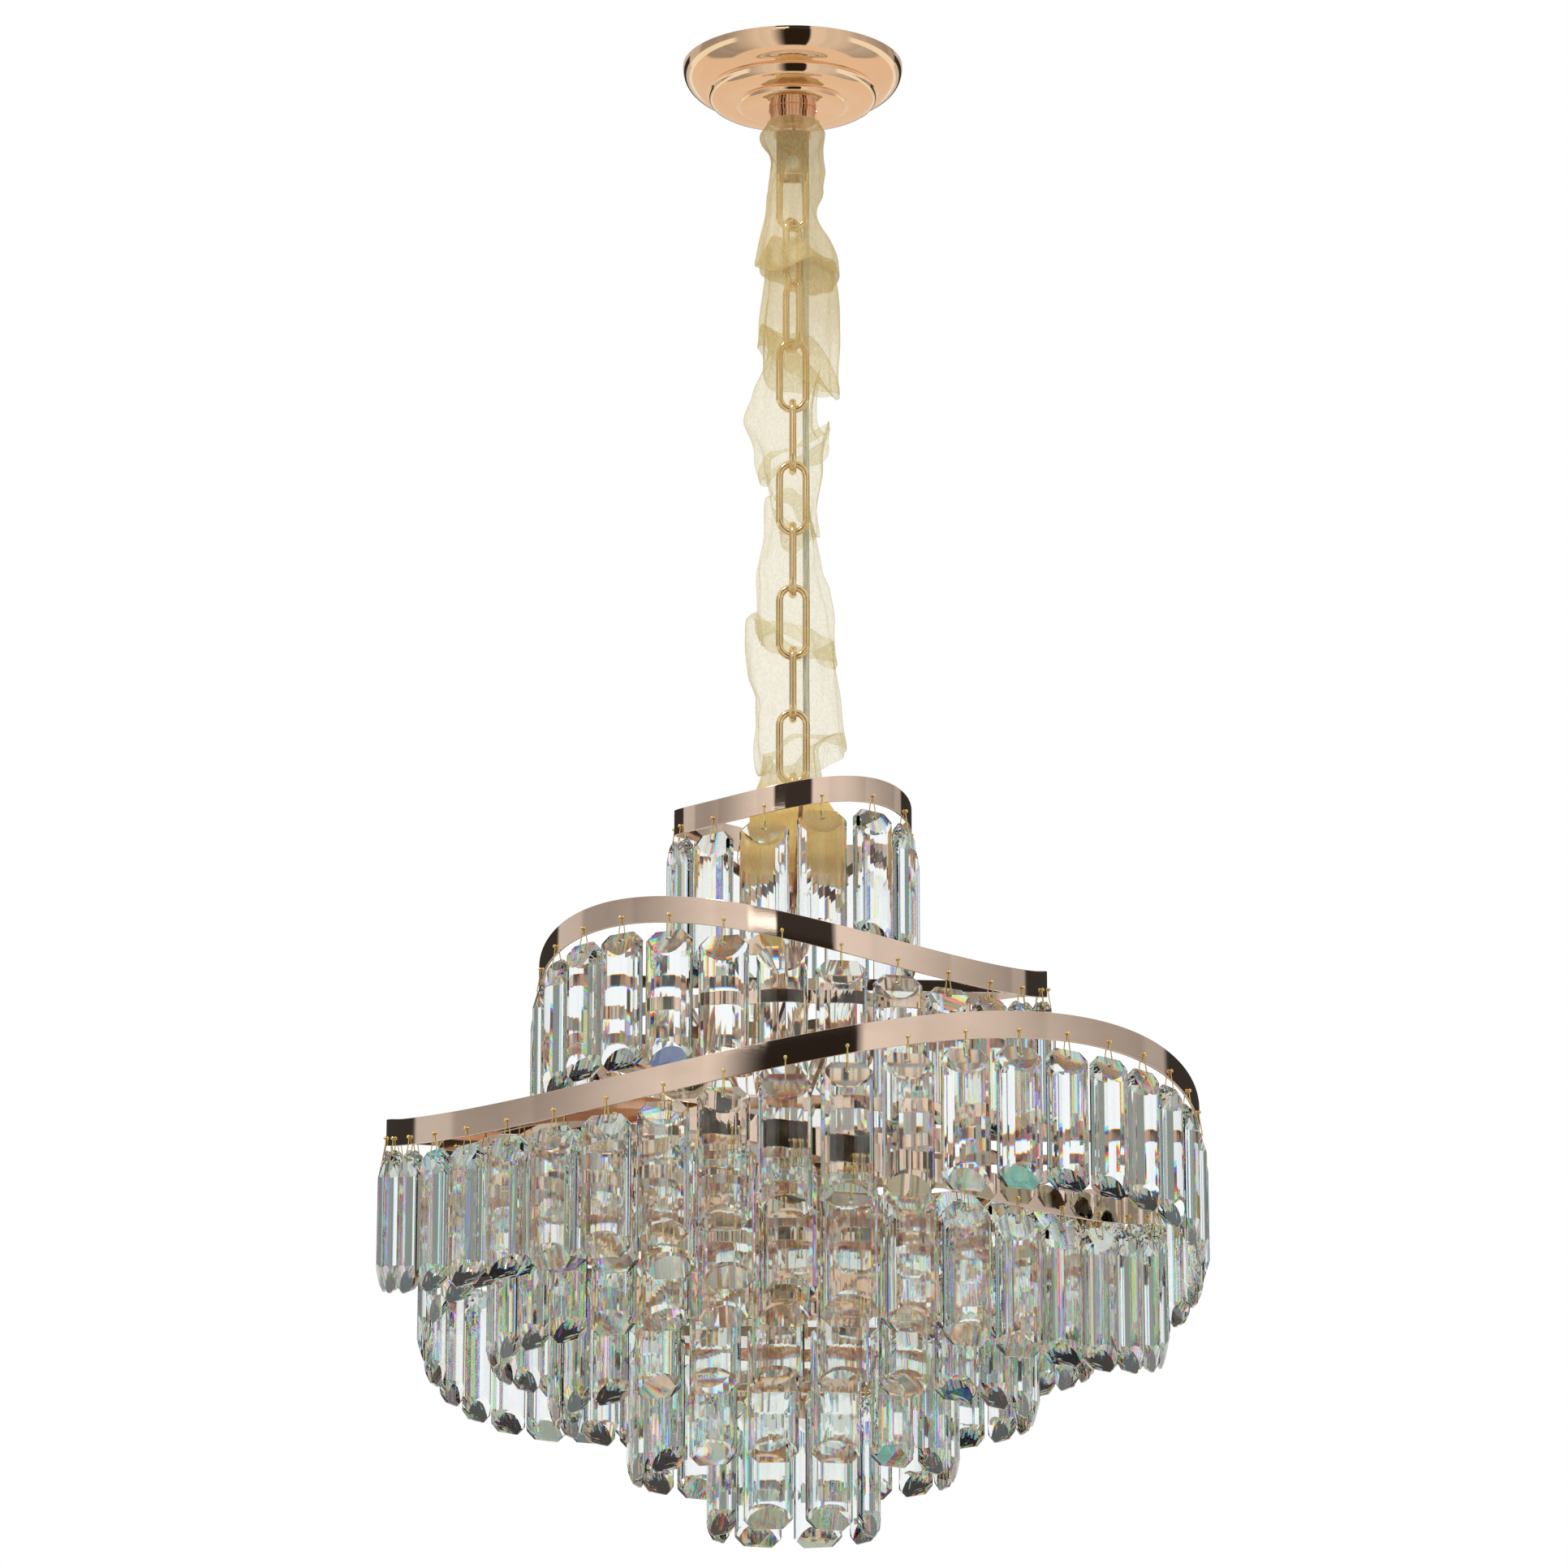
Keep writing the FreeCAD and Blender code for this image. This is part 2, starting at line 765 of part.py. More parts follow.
def terminal_block():
    """Block of screw terminals under the bracket."""
    top = -bracket_thickness
    body = Part.makeBox(
        terminal_length,
        terminal_width,
        terminal_height,
        Vector(-terminal_offset, -terminal_width / 2, top - terminal_height),
    )
    low = top - terminal_height
    for k in range(terminal_ways):
        x = -terminal_offset + terminal_length * (k + 0.5) / terminal_ways
        for y in (-terminal_width / 4, terminal_width / 4):
            well = tube(terminal_well_radius, 0, low, low + terminal_well_depth)
            well.translate(Vector(x, y, 0))
            body = body.cut(well)
    return body


# Lamps


def lamp_places():
    step = 360.0 / lamp_count
    return [arm_angle + step * (k + 0.5) for k in range(lamp_count)]


def on_lamps(shape):
    """One copy of a shape modelled on the axis at each lamp."""
    return [turned_to(shape, a, around(lamp_circle_radius, a)) for a in lamp_places()]


def lamp_hub():
    """Turned body that the lamp arms screw into."""
    top = lamp_hub_top
    low = top - lamp_hub_height
    neck = hub_radius
    rim = lamp_hub_radius
    shoulder = lamp_hub_shoulder_radius
    drop = lamp_hub_shoulder_drop
    edge = lamp_hub_chamfer
    return revolved(
        [
            line(column_radius, top, neck, top),
            arc(neck, top, shoulder, top - drop, rim, top - edge),
            line(rim, top - edge, rim, low + edge),
            arc(rim, low + edge, shoulder, low + drop, neck, low),
            line(neck, low, column_radius, low),
            line(column_radius, low, column_radius, top),
        ]
    )


def lamp_arm():
    """Tube out of the hub that bends up under its cup, at the front."""
    points = [
        Vector(0, lamp_arm_radius - lamp_hub_radius, lamp_arm_z),
        Vector(0, -lamp_circle_radius, lamp_arm_z),
        Vector(0, -lamp_circle_radius, cup_low),
    ]
    body = swept(rounded_path(points, [lamp_arm_bend]), lamp_arm_radius)
    return body.cut(tube(lamp_hub_radius, 0, lamp_hub_top - lamp_hub_height, lamp_hub_top))


def cup():
    """Drip cup with a flared rim, on the axis."""
    low = cup_low
    top = low + cup_height
    rim_low = top - cup_rim_drop - cup_lip
    return revolved(
        [
            line(0, low, cup_stem_radius, low),
            arc(cup_stem_radius, low, cup_bulge_radius, low + cup_bulge_height, cup_radius, rim_low),
            line(cup_radius, rim_low, cup_radius, top - cup_rim_drop),
            line(cup_radius, top - cup_rim_drop, candle_radius, candle_low),
            line(candle_radius, candle_low, 0, candle_low),
            line(0, candle_low, 0, low),
        ]
    )


def dish():
    """Shallow polished dish round the column under the lamp hub."""
    low = dish_rim - dish_depth
    foot = Vector(dish_foot_radius, 0, low)
    belly = Vector(dish_curve_radius, 0, low + dish_curve_height)
    rim = Vector(dish_radius, 0, dish_rim)
    inner_foot, inner_belly, inner_rim = inset([foot, belly, rim], dish_wall)
    return revolved(
        [
            line(column_radius, low, foot.x, low),
            curve(foot, belly, rim),
            line(rim.x, rim.z, inner_rim.x, inner_rim.z),
            curve(inner_rim, inner_belly, inner_foot),
            line(inner_foot.x, inner_foot.z, column_radius, inner_foot.z),
            line(column_radius, inner_foot.z, column_radius, low),
        ]
    )


def candle():
    """White sleeve that hides the lampholder."""
    return tube(candle_radius, candle_radius - candle_wall, candle_low, candle_low + candle_height)


def lampholder():
    body = tube(holder_radius, 0, candle_low, holder_top)
    return body.cut(tube(holder_socket_radius, 0, bulb_cap_low, holder_top))


def bulb_cap():
    return tube(bulb_cap_radius, 0, bulb_cap_low, bulb_low)


def bulb():
    """Candle-shaped glass, almost pointed at its top."""
    base = Vector(bulb_cap_radius, 0, bulb_low)
    lower = Vector(bulb_lower_radius, 0, bulb_low + bulb_lower_height)
    widest = Vector(bulb_radius, 0, bulb_low + bulb_widest_height)
    upper = Vector(bulb_upper_radius, 0, bulb_low + bulb_upper_height)
    tip = Vector(bulb_tip_radius, 0, bulb_low + bulb_glass_height)
    return revolved(
        [
            line(0, base.z, base.x, base.z),
            curve(base, lower, widest),
            curve(widest, upper, tip),
            line(tip.x, tip.z, 0, tip.z),
            line(0, tip.z, 0, base.z),
        ]
    )


def column_cap():
    """Cap on the column, with a hole for the loop's stem and one for the supply cable."""
    body = tube(column_cap_radius, 0, cap_bottom, cap_top)
    body = body.cut(tube(loop_stem_radius, 0, cap_top - loop_stem_depth, cap_top))
    foot = Vector(*cable_points[-1])
    return body.cut(Part.makeCylinder(cable_radius + cable_clearance, cap_top - foot.z, foot))


# Everything is written as one file for each node

os.makedirs("parts", exist_ok=True)


def save(name, *solids):
    """Writes one node of one or more solids."""
    shape = solids[0] if len(solids) == 1 else Part.makeCompound(list(solids))
    if not shape.isValid():
        print("not valid:", name)
    shape.exportStep("parts/" + name + ".step")
    print(name, len(shape.Solids), round(shape.Volume / 1000, 2), "cm3")


save("ceiling_bracket", ceiling_bracket())
save("threaded_nipple", tube(nipple_radius, nipple_bore_radius, nipple_end, 0))
save(
    "nipple_nuts",
    hexagon(nut_across_corners / 2, -bracket_thickness - nut_height, -bracket_thickness, nipple_radius),
    hexagon(nut_across_corners / 2, nipple_end, hanger_roof_bottom, nipple_radius),
)
save("canopy_cover", canopy())
save("knurled_collar", knurled(collar_radius, lock_ring_top, collar_top, nipple_radius))
save("collar_lock_ring", knurled(lock_ring_radius, flange_top, lock_ring_top, nipple_radius))
save("hanger_flange", flange())
save("hanger_bracket", hanger())
save("hanger_pin", hanger_pin())
save("cable_gland", gland())
save("terminal_block", terminal_block())
save("supply_cable", cable())
save("organza_sleeve", sleeve())

save("upper_chain_links", *links(0, upper_link_count))
save("lower_chain_links", *links(upper_link_count, lower_link_count))
save("last_chain_link", *links(upper_link_count + lower_link_count, 1))
save("top_loop", top_loop())

save("column_cap", column_cap())
save(
    "column_tube",
    tube(column_radius, column_radius - column_wall, column_bottom, cap_bottom),
)
save(
    "column_end_nut",
    tube(end_nut_radius, 0, column_bottom - end_nut_height, column_bottom),
)

hub_levels = []
hoop_arms = []
hoop_pins = []
for number, (radius, drop, wave, count, first_angle) in enumerate(hoops, 1):
    top = cap_top - drop
    level = top - hoop_height / 2
    inner_level = level
    if number == 1:
        inner_level = level - top_arm_hub_drop
    hub_levels.append(inner_level)
    hoop_arms += arm_set(radius, inner_level, level, hoop_arm_height)
    places = hanging_places(radius, top - hoop_height, wave, count, first_angle)
    strip = drilled(wavy_strip(radius, top, wave), places, radius)
    save("hoop_" + str(number), strip)
    hoop_pins += [turned_to(pin(), angle, place) for angle, place in places]
    save(
        "hoop_" + str(number) + "_prisms",
        *[turned_to(prism(), angle, place) for angle, place in places],
    )

ring_arms = []
ring_pins = []
for number, (radius, drop, count) in enumerate(rings, len(hoops) + 1):
    top = cap_top - drop
    level = top - ring_height / 2
    hub_levels.append(level)
    ring_arms += arm_set(radius, level, level, ring_arm_height)
    first_angle = arm_angle + 180.0 / count
    places = hanging_places(radius, top - ring_height, 0.0, count, first_angle)
    save("ring_" + str(number), drilled(level_strip(radius, top), places, radius))
    ring_pins += [turned_to(pin(), angle, place) for angle, place in places]
    hung = [turned_to(prism(), angle, place) for angle, place in places]
    if number < len(hoops) + len(rings):
        save("ring_" + str(number) + "_prisms", *hung)
    else:
        for k, solid in enumerate(hung, 1):
            save("bottom_prism_" + str(k), solid)

inner_rings = []
inner_ring_arms = []
ring_nuts = []
for radius, drop in zip(inner_ring_radii, inner_ring_drops):
    top = cap_top - drop
    level = top - ring_height / 2
    hub_levels.append(level)
    inner_rings.append(level_strip(radius, top))
    inner_ring_arms += arm_set(radius, level, level, ring_arm_height)
    for k in range(arms_per_level):
        angle = arm_angle + 360.0 * k / arms_per_level
        heading = around(1.0, angle)
        nut = Part.makeCylinder(ring_nut_radius, ring_nut_length, around(radius, angle, level), heading)
        barrel = Part.makeCylinder(radius, 2 * ring_nut_radius, Vector(0, 0, level - ring_nut_radius))
        ring_nuts.append(nut.cut(barrel))

save("hoop_arms", *hoop_arms)
save("ring_arms", *ring_arms)
save("inner_rings", *inner_rings)
save("inner_ring_arms", *inner_ring_arms)
save("ring_nuts", *ring_nuts)
save("hoop_pins", *hoop_pins)
save("ring_pins", *ring_pins)
save("column_hubs", *[hub(z) for z in hub_levels])
save("lamp_hub", lamp_hub())
save("lamp_arms", *[turned_to(lamp_arm(), a) for a in lamp_places()])
save("lamp_cups", *on_lamps(cup()))
save("candle_sleeves", *on_lamps(candle()))
save("lampholders", *on_lamps(lampholder()))
save("bulb_caps", *on_lamps(bulb_cap()))
save("bulbs", *on_lamps(bulb()))
save("lamp_dish", dish())
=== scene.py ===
import math

import bpy
from mathutils import Matrix, Vector, noise


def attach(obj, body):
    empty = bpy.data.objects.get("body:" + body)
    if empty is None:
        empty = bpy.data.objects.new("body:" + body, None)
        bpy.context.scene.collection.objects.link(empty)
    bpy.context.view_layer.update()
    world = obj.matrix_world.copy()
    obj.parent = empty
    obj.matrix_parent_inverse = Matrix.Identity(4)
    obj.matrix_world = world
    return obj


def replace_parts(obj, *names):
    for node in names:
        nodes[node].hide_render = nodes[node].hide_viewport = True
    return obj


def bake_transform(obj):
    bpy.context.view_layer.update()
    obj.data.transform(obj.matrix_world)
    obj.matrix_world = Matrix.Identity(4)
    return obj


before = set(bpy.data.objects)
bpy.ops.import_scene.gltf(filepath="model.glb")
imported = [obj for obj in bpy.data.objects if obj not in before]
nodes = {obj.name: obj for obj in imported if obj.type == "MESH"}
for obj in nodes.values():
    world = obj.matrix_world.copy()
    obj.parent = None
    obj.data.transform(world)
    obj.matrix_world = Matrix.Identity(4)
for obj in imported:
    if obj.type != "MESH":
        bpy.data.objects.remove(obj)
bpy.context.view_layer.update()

mm = 0.001


class Signal:  # a socket of a node tree that takes part in sums
    def __init__(self, tree, socket=None):
        self.tree = tree
        self.socket = socket

    def node(self, kind, settings=None, sockets=None, out=0):
        made = self.tree.nodes.new(kind)
        for name, value in (settings or {}).items():
            if name == "stops":
                fillRamp(made.color_ramp, value)
            else:
                setattr(made, name, value)
        for name, value in (sockets or {}).items():
            if isinstance(value, Signal):
                self.tree.links.new(value.socket, made.inputs[name])
            else:
                made.inputs[name].default_value = value
        return Signal(self.tree, made.outputs[out] if made.outputs else None)

    def sum(self, operation, first, second=0.0):
        return self.node("ShaderNodeMath", {"operation": operation}, {0: first, 1: second})

    def __add__(self, other):
        return self.sum("ADD", self, other)

    def __radd__(self, other):
        return self.sum("ADD", other, self)

    def __sub__(self, other):
        return self.sum("SUBTRACT", self, other)

    def __rsub__(self, other):
        return self.sum("SUBTRACT", other, self)

    def __mul__(self, other):
        return self.sum("MULTIPLY", self, other)

    def __rmul__(self, other):
        return self.sum("MULTIPLY", other, self)

    def __pow__(self, other):
        return self.sum("POWER", self, other)

    def __neg__(self):
        return self.sum("MULTIPLY", self, -1.0)


def fillRamp(ramp, stops):
    while len(ramp.elements) < len(stops):
        ramp.elements.new(1.0)
    for element, (place, colour) in zip(ramp.elements, stops):
        element.position = place
        element.color = (*colour, 1.0)


def rise(signal, low, high):  # 0 below low, 1 above high, smooth between
    return signal.node("ShaderNodeMapRange", {"interpolation_type": "SMOOTHSTEP"},
                       {"Value": signal, "From Min": low, "From Max": high})


def band(signal, low, high, soft):  # 1 between low and high, each softened by soft to both sides
    return rise(signal, low - soft, low + soft) * (1 - rise(signal, high - soft, high + soft))


def colour4(value):
    return value if isinstance(value, Signal) else (*value, 1.0)


def mixColour(factor, first, second):
    return factor.node("ShaderNodeMix", {"data_type": "RGBA"},
                       {0: factor, 6: colour4(first), 7: colour4(second)}, 2)


def mixShaders(share, first, second):
    return first.node("ShaderNodeMixShader", None, {0: share, 1: first, 2: second})


def colourRamp(signal, stops):
    return signal.node("ShaderNodeValToRGB", {"stops": stops}, {"Fac": signal})


def axisOf(vector, axis):
    return vector.node("ShaderNodeSeparateXYZ", None, {"Vector": vector}, axis)


def stretched(place, scale):
    return place.node("ShaderNodeMapping", None, {"Vector": place, "Scale": scale})


def cloudy(place, scale, detail=2.0, roughness=0.5):
    return place.node("ShaderNodeTexNoise", None,
                      {"Vector": place, "Scale": scale, "Detail": detail, "Roughness": roughness})


def bumped(height, strength, distance):
    return height.node("ShaderNodeBump", None,
                       {"Strength": strength, "Distance": distance, "Height": height})


def clearGlass(tint, ior, rough, ripple):
    return ripple.node("ShaderNodeBsdfGlass", None,
                       {"Color": (*tint, 1.0), "Roughness": rough, "IOR": ior, "Normal": ripple})


def newMaterial(name, build):
    made = bpy.data.materials.new(name)
    made.use_nodes = True
    made.node_tree.nodes.clear()
    start = Signal(made.node_tree)
    place = start.node("ShaderNodeTexCoord", out="Object")
    surface = build(start, place)
    start.node("ShaderNodeOutputMaterial", None, {"Surface": surface})
    return made


plating = {
    "mottle": 22.0, "patches": (0.42, 0.68), "darkShare": 0.5, "mottleRough": 0.02,
    "smear": 260.0, "smearRough": 0.05, "bump": 0.006, "bumpHeight": 0.4 * mm,
}


def platedMetal(colour, dark, rough, brush=(1.0, 1.0, 1.0)):
    def build(start, place):
        brushed = stretched(place, brush)
        mottle = rise(cloudy(brushed, plating["mottle"], 3.0), *plating["patches"])
        smear = cloudy(brushed, plating["smear"], 3.0, 0.6)
        roughness = smear * plating["smearRough"] + mottle * plating["mottleRough"] + rough
        return start.node("ShaderNodeBsdfPrincipled", None,
                          {"Base Color": mixColour(mottle * plating["darkShare"], colour, dark),
                           "Metallic": 1.0, "Roughness": roughness,
                           "Normal": bumped(smear, plating["bump"], plating["bumpHeight"])})
    return build


moulding = {
    "grain": 900.0, "grainRough": 0.15, "bump": 0.15, "bumpHeight": 0.2 * mm,
    "marks": 60.0, "patches": (0.5, 0.72), "wornShare": 0.5,
}


def mouldedPlastic(colour, worn, rough):
    def build(start, place):
        grain = cloudy(place, moulding["grain"], 3.0)
        marks = rise(cloudy(place, moulding["marks"], 4.0), *moulding["patches"])
        return start.node("ShaderNodeBsdfPrincipled", None,
                          {"Base Color": mixColour(marks * moulding["wornShare"], colour, worn),
                           "Roughness": grain * moulding["grainRough"] + rough,
                           "Normal": bumped(grain, moulding["bump"], moulding["bumpHeight"])})
    return build


crystal = {
    "tint": (0.990, 0.996, 0.988), "ior": 1.53, "spread": 0.02, "fire": 0.75,
    "rippleScale": 55.0, "ripple": 0.006, "rippleHeight": 0.3 * mm,
}


def cutCrystal(start, place):
    ripple = bumped(cloudy(place, crystal["rippleScale"], 1.0),
                    crystal["ripple"], crystal["rippleHeight"])
    tint, fire = crystal["tint"], crystal["fire"]
    lobes = []
    for channel in range(3):  # red, green and blue bend by different amounts
        shares = [(1 + fire) / 2 if k == channel else (1 - fire) / 4 for k in range(3)]
        colour = [tint[k] * shares[k] for k in range(3)]
        lobes.append(clearGlass(colour, crystal["ior"] + crystal["spread"] * (channel - 1), 0.0, ripple))
    pair = start.node("ShaderNodeAddShader", None, {0: lobes[0], 1: lobes[1]})
    split = start.node("ShaderNodeAddShader", None, {0: pair, 1: lobes[2]})
    plain = clearGlass(tint, crystal["ior"], 0.0, ripple)
    first = start.node("ShaderNodeLightPath", out="Is Camera Ray")  # deeper surfaces are plain glass
    return mixShaders(first, plain, split)


organza = {
    "top": -38.3 * mm, "length": 480.7 * mm,  # the drop that the tones and the cover are spread over
    # the last tone, the gathered foot's amber, is partly painted light: the amber is the cloth's, but it
    # is made lighter to make up for the light the crystals keep off it
    "tones": [(0.0, (0.72, 0.58, 0.27)), (0.3, (0.72, 0.59, 0.29)), (0.42, (0.72, 0.64, 0.38)),
              (0.88, (0.74, 0.68, 0.47)), (0.93, (1.0, 0.76, 0.26))],
    "cover": [(0.0, 0.52), (0.26, 0.40), (0.34, 0.15), (0.88, 0.11), (0.92, 0.85)],
    "thread": 0.42 * mm, "threadCover": 0.04,
    "moire": 120.0, "moireStretch": (1.0, 1.0, 0.5), "moireBands": 60.0, "moireCover": 0.06,
    "edgePower": 3.0, "edgeCover": 0.6,
    "glowShare": 0.45, "satin": (0.95, 0.90, 0.72), "satinShare": 0.07, "clear": (0.975, 0.96, 0.90),
}


def sheerCloth(start, place):
    sewn = start.node("ShaderNodeTexCoord", out="UV")
    warp, weft = (start.sum("SINE", axisOf(sewn, axis) * (2 * math.pi / organza["thread"]))
                  for axis in ("X", "Y"))
    threads = warp * 0.5 + weft * 0.5
    moire = cloudy(stretched(place, organza["moireStretch"]), organza["moire"], 2.0)
    bands = start.sum("SINE", moire * organza["moireBands"])
    down = (organza["top"] - axisOf(place, "Z")) * (1 / organza["length"])
    # the foot's tone is partly painted light, lighter than the cloth to stand in for light the crystals
    # hold back
    tone = colourRamp(down, organza["tones"])
    dense = colourRamp(down, [(share, (cover,) * 3) for share, cover in organza["cover"]])
    facing = start.node("ShaderNodeLayerWeight", None, {"Blend": 0.5}, "Facing")
    edge = facing ** organza["edgePower"]
    cover = (dense + threads * organza["threadCover"] + bands * organza["moireCover"]
             + edge * organza["edgeCover"])
    diffuse = start.node("ShaderNodeBsdfDiffuse", None, {"Color": tone, "Roughness": 0.4})
    glow = start.node("ShaderNodeBsdfTranslucent", None, {"Color": tone})
    satin = start.node("ShaderNodeBsdfGlossy", None,
                       {"Color": colour4(organza["satin"]), "Roughness": 0.45})
    clear = start.node("ShaderNodeBsdfTransparent", None, {"Color": colour4(organza["clear"])})
    cloth = mixShaders(organza["glowShare"], diffuse, glow)
    cloth = mixShaders(organza["satinShare"], cloth, satin)
    return mixShaders(cover, clear, cloth)


sheath = {"strands": 900.0, "stretch": (1.0, 1.0, 0.05), "patches": (0.4, 0.6),
          "dark": (0.50, 0.53, 0.45), "light": (0.76, 0.77, 0.68)}


def clearSheath(start, place):
    strands = cloudy(stretched(place, sheath["stretch"]), sheath["strands"], 2.0)
    colour = mixColour(rise(strands, *sheath["patches"]), sheath["dark"], sheath["light"])
    return start.node("ShaderNodeBsdfPrincipled", None,
                      {"Base Color": colour, "Roughness": 0.2, "Coat Weight": 0.6,
                       "Transmission Weight": 0.25})


bulb = {"tint": (0.97, 0.97, 0.95), "ior": 1.2, "rough": 0.02,
        "rippleScale": 70.0, "ripple": 0.05, "rippleHeight": 0.3 * mm}


def lampGlass(start, place):
    ripple = bumped(cloudy(place, bulb["rippleScale"], 2.0), bulb["ripple"], bulb["rippleHeight"])
    return clearGlass(bulb["tint"], bulb["ior"], bulb["rough"], ripple)


# plated metal takes its colour, its darker patches' colour and its roughness
hoopGold = newMaterial("rose gold, hoops",
                       platedMetal((0.87, 0.67, 0.53), (0.79, 0.59, 0.46), 0.015, (1, 1, 3)))
canopyGold = newMaterial("rose gold, canopy", platedMetal((0.88, 0.60, 0.38), (0.82, 0.54, 0.33), 0.02))
chainGold = newMaterial("rose gold, chain", platedMetal((0.90, 0.67, 0.38), (0.80, 0.54, 0.27), 0.04))
collarCopper = newMaterial("rose gold, collar",
                           platedMetal((0.88, 0.62, 0.46), (0.78, 0.50, 0.35), 0.14))
frameGold = newMaterial("rose gold, frame", platedMetal((0.85, 0.64, 0.50), (0.72, 0.50, 0.36), 0.05))
zincPlate = newMaterial("zinc plate", platedMetal((0.66, 0.66, 0.67), (0.52, 0.53, 0.56), 0.28))
pinBrass = newMaterial("bright brass wire", platedMetal((0.86, 0.68, 0.27), (0.74, 0.54, 0.18), 0.06))
bulbMetal = newMaterial("bulb cap metal", platedMetal((0.75, 0.75, 0.76), (0.6, 0.6, 0.62), 0.2))
# moulded plastic takes its colour, its worn patches' colour and its roughness
glandPlastic = newMaterial("gland plastic", mouldedPlastic((0.13, 0.15, 0.11), (0.20, 0.22, 0.17), 0.4))
terminalPlastic = newMaterial("terminal plastic",
                              mouldedPlastic((0.85, 0.85, 0.80), (0.72, 0.72, 0.66), 0.3))
candleWhite = newMaterial("candle sleeve white",
                          mouldedPlastic((0.88, 0.87, 0.83), (0.80, 0.78, 0.72), 0.35))
holderPlastic = newMaterial("lampholder plastic",
                            mouldedPlastic((0.84, 0.82, 0.76), (0.74, 0.72, 0.66), 0.3))
crystalGlass = newMaterial("cut crystal", cutCrystal)
organzaCloth = newMaterial("sheer organza", sheerCloth)
cableSheath = newMaterial("clear cable sheath", clearSheath)
bulbGlass = newMaterial("bulb glass", lampGlass)

finishes = {
    canopyGold: ["hanger_flange", "hanger_bracket"],
    collarCopper: ["knurled_collar", "collar_lock_ring"],
    chainGold: ["upper_chain_links", "lower_chain_links", "last_chain_link", "top_loop", "column_cap"],
    frameGold: ["column_tube", "column_end_nut", "column_hubs", "hoop_arms", "ring_arms",
                "inner_ring_arms", "ring_nuts", "lamp_hub", "lamp_arms", "lamp_cups", "lamp_dish"],
    hoopGold: ["hoop_1", "hoop_2", "hoop_3", "hoop_4", "ring_5", "ring_6", "ring_7", "ring_8",
               "inner_rings"],
    zincPlate: ["ceiling_bracket", "threaded_nipple", "nipple_nuts", "hanger_pin"],
    glandPlastic: ["cable_gland"],
    terminalPlastic: ["terminal_block"],
    candleWhite: ["candle_sleeves"],
    holderPlastic: ["lampholders"],
    bulbMetal: ["bulb_caps"],
    bulbGlass: ["bulbs"],
}


def paint(piece, finish):
    piece.data.materials.clear()
    piece.data.materials.append(finish)


for finish, names in finishes.items():
    for name in names:
        paint(nodes[name], finish)
print("materials made")


def pickNone():
    bpy.ops.object.select_all(action="DESELECT")


def pick(*pieces):
    pickNone()
    for piece in pieces:
        piece.select_set(True)
    bpy.context.view_layer.objects.active = pieces[0]


def named(name, finish):
    piece = bpy.context.object
    piece.name = name
    piece.data.name = name
    paint(piece, finish)
    return piece


def settle(piece):  # the place goes into the mesh
    pick(piece)
    bpy.ops.object.transform_apply(location=True, rotation=True, scale=True)


def cut(point, normal):  # takes off what lies beyond a plane, and closes the cut
    bpy.ops.mesh.select_all(action="SELECT")
    bpy.ops.mesh.bisect(plane_co=point, plane_no=Vector(normal).normalized(),
                        use_fill=True, clear_outer=True)


def finishWith(piece, kind, **settings):
    pick(piece)
    modifier = piece.modifiers.new(kind.lower(), kind)
    for name, value in settings.items():
        setattr(modifier, name, value)
    bpy.ops.object.modifier_apply(modifier=modifier.name)


def smoothed(piece, angle):
    pick(piece)
    bpy.ops.object.shade_smooth_by_angle(angle=math.radians(angle))


def copies(source, name, places):  # one mesh with a copy of the source at each place
    made = []
    for place in places:
        piece = bpy.data.objects.new(name, source.data.copy())
        bpy.context.scene.collection.objects.link(piece)
        piece.data.transform(place)
        made.append(piece)
    pick(*made)
    if len(made) > 1:
        bpy.ops.object.join()
    made[0].name = name
    made[0].data.name = name
    return made[0]


def inMetres(points):
    return [tuple(value * mm for value in point) for point in points]


def wireForm(name, points, radius, sides, finish):
    pickNone()
    bpy.ops.curve.primitive_nurbs_path_add()
    piece = bpy.context.object
    line = piece.data.splines[0]
    line.points.add(len(points) - len(line.points))
    for point, place in zip(line.points, points):
        point.co = (*place, 1.0)
    line.order_u = 3  # set before the points are there, it would stay at 2
    line.use_endpoint_u = True
    line.resolution_u = 4
    piece.data.bevel_depth = radius
    piece.data.bevel_resolution = sides
    piece.data.use_fill_caps = True
    bpy.ops.object.convert(target="MESH")
    return named(name, finish)


def around(radius, theta, height, yaw=0.0):  # theta runs from the front to the right
    angle = math.radians(theta)
    spot = Matrix.Translation((radius * math.sin(angle), -radius * math.cos(angle), height))
    return spot @ Matrix.Rotation(angle + math.radians(yaw), 4, "Z")


canopy = {
    "sides": 128, "wall": 0.8 * mm, "smoothBelow": 40,
    # radius and height of each ring in millimetres, from the rim to the collar
    "profile": [(69.9, -0.2), (70.0, -2.4), (69.3, -6.6), (67.6, -10.6), (64.8, -14.0), (61.0, -16.8),
                (57.4, -18.2), (54.8, -18.3), (53.7, -18.5), (53.4, -20.2), (53.0, -22.6),
                (51.8, -24.6), (48.6, -26.0), (44.6, -26.7), (40.0, -26.9), (36.2, -26.7),
                (35.0, -26.8), (34.7, -27.8), (34.3, -29.0), (32.6, -29.9), (28.6, -30.2),
                (24.0, -30.1), (15.4, -30.0)],
}


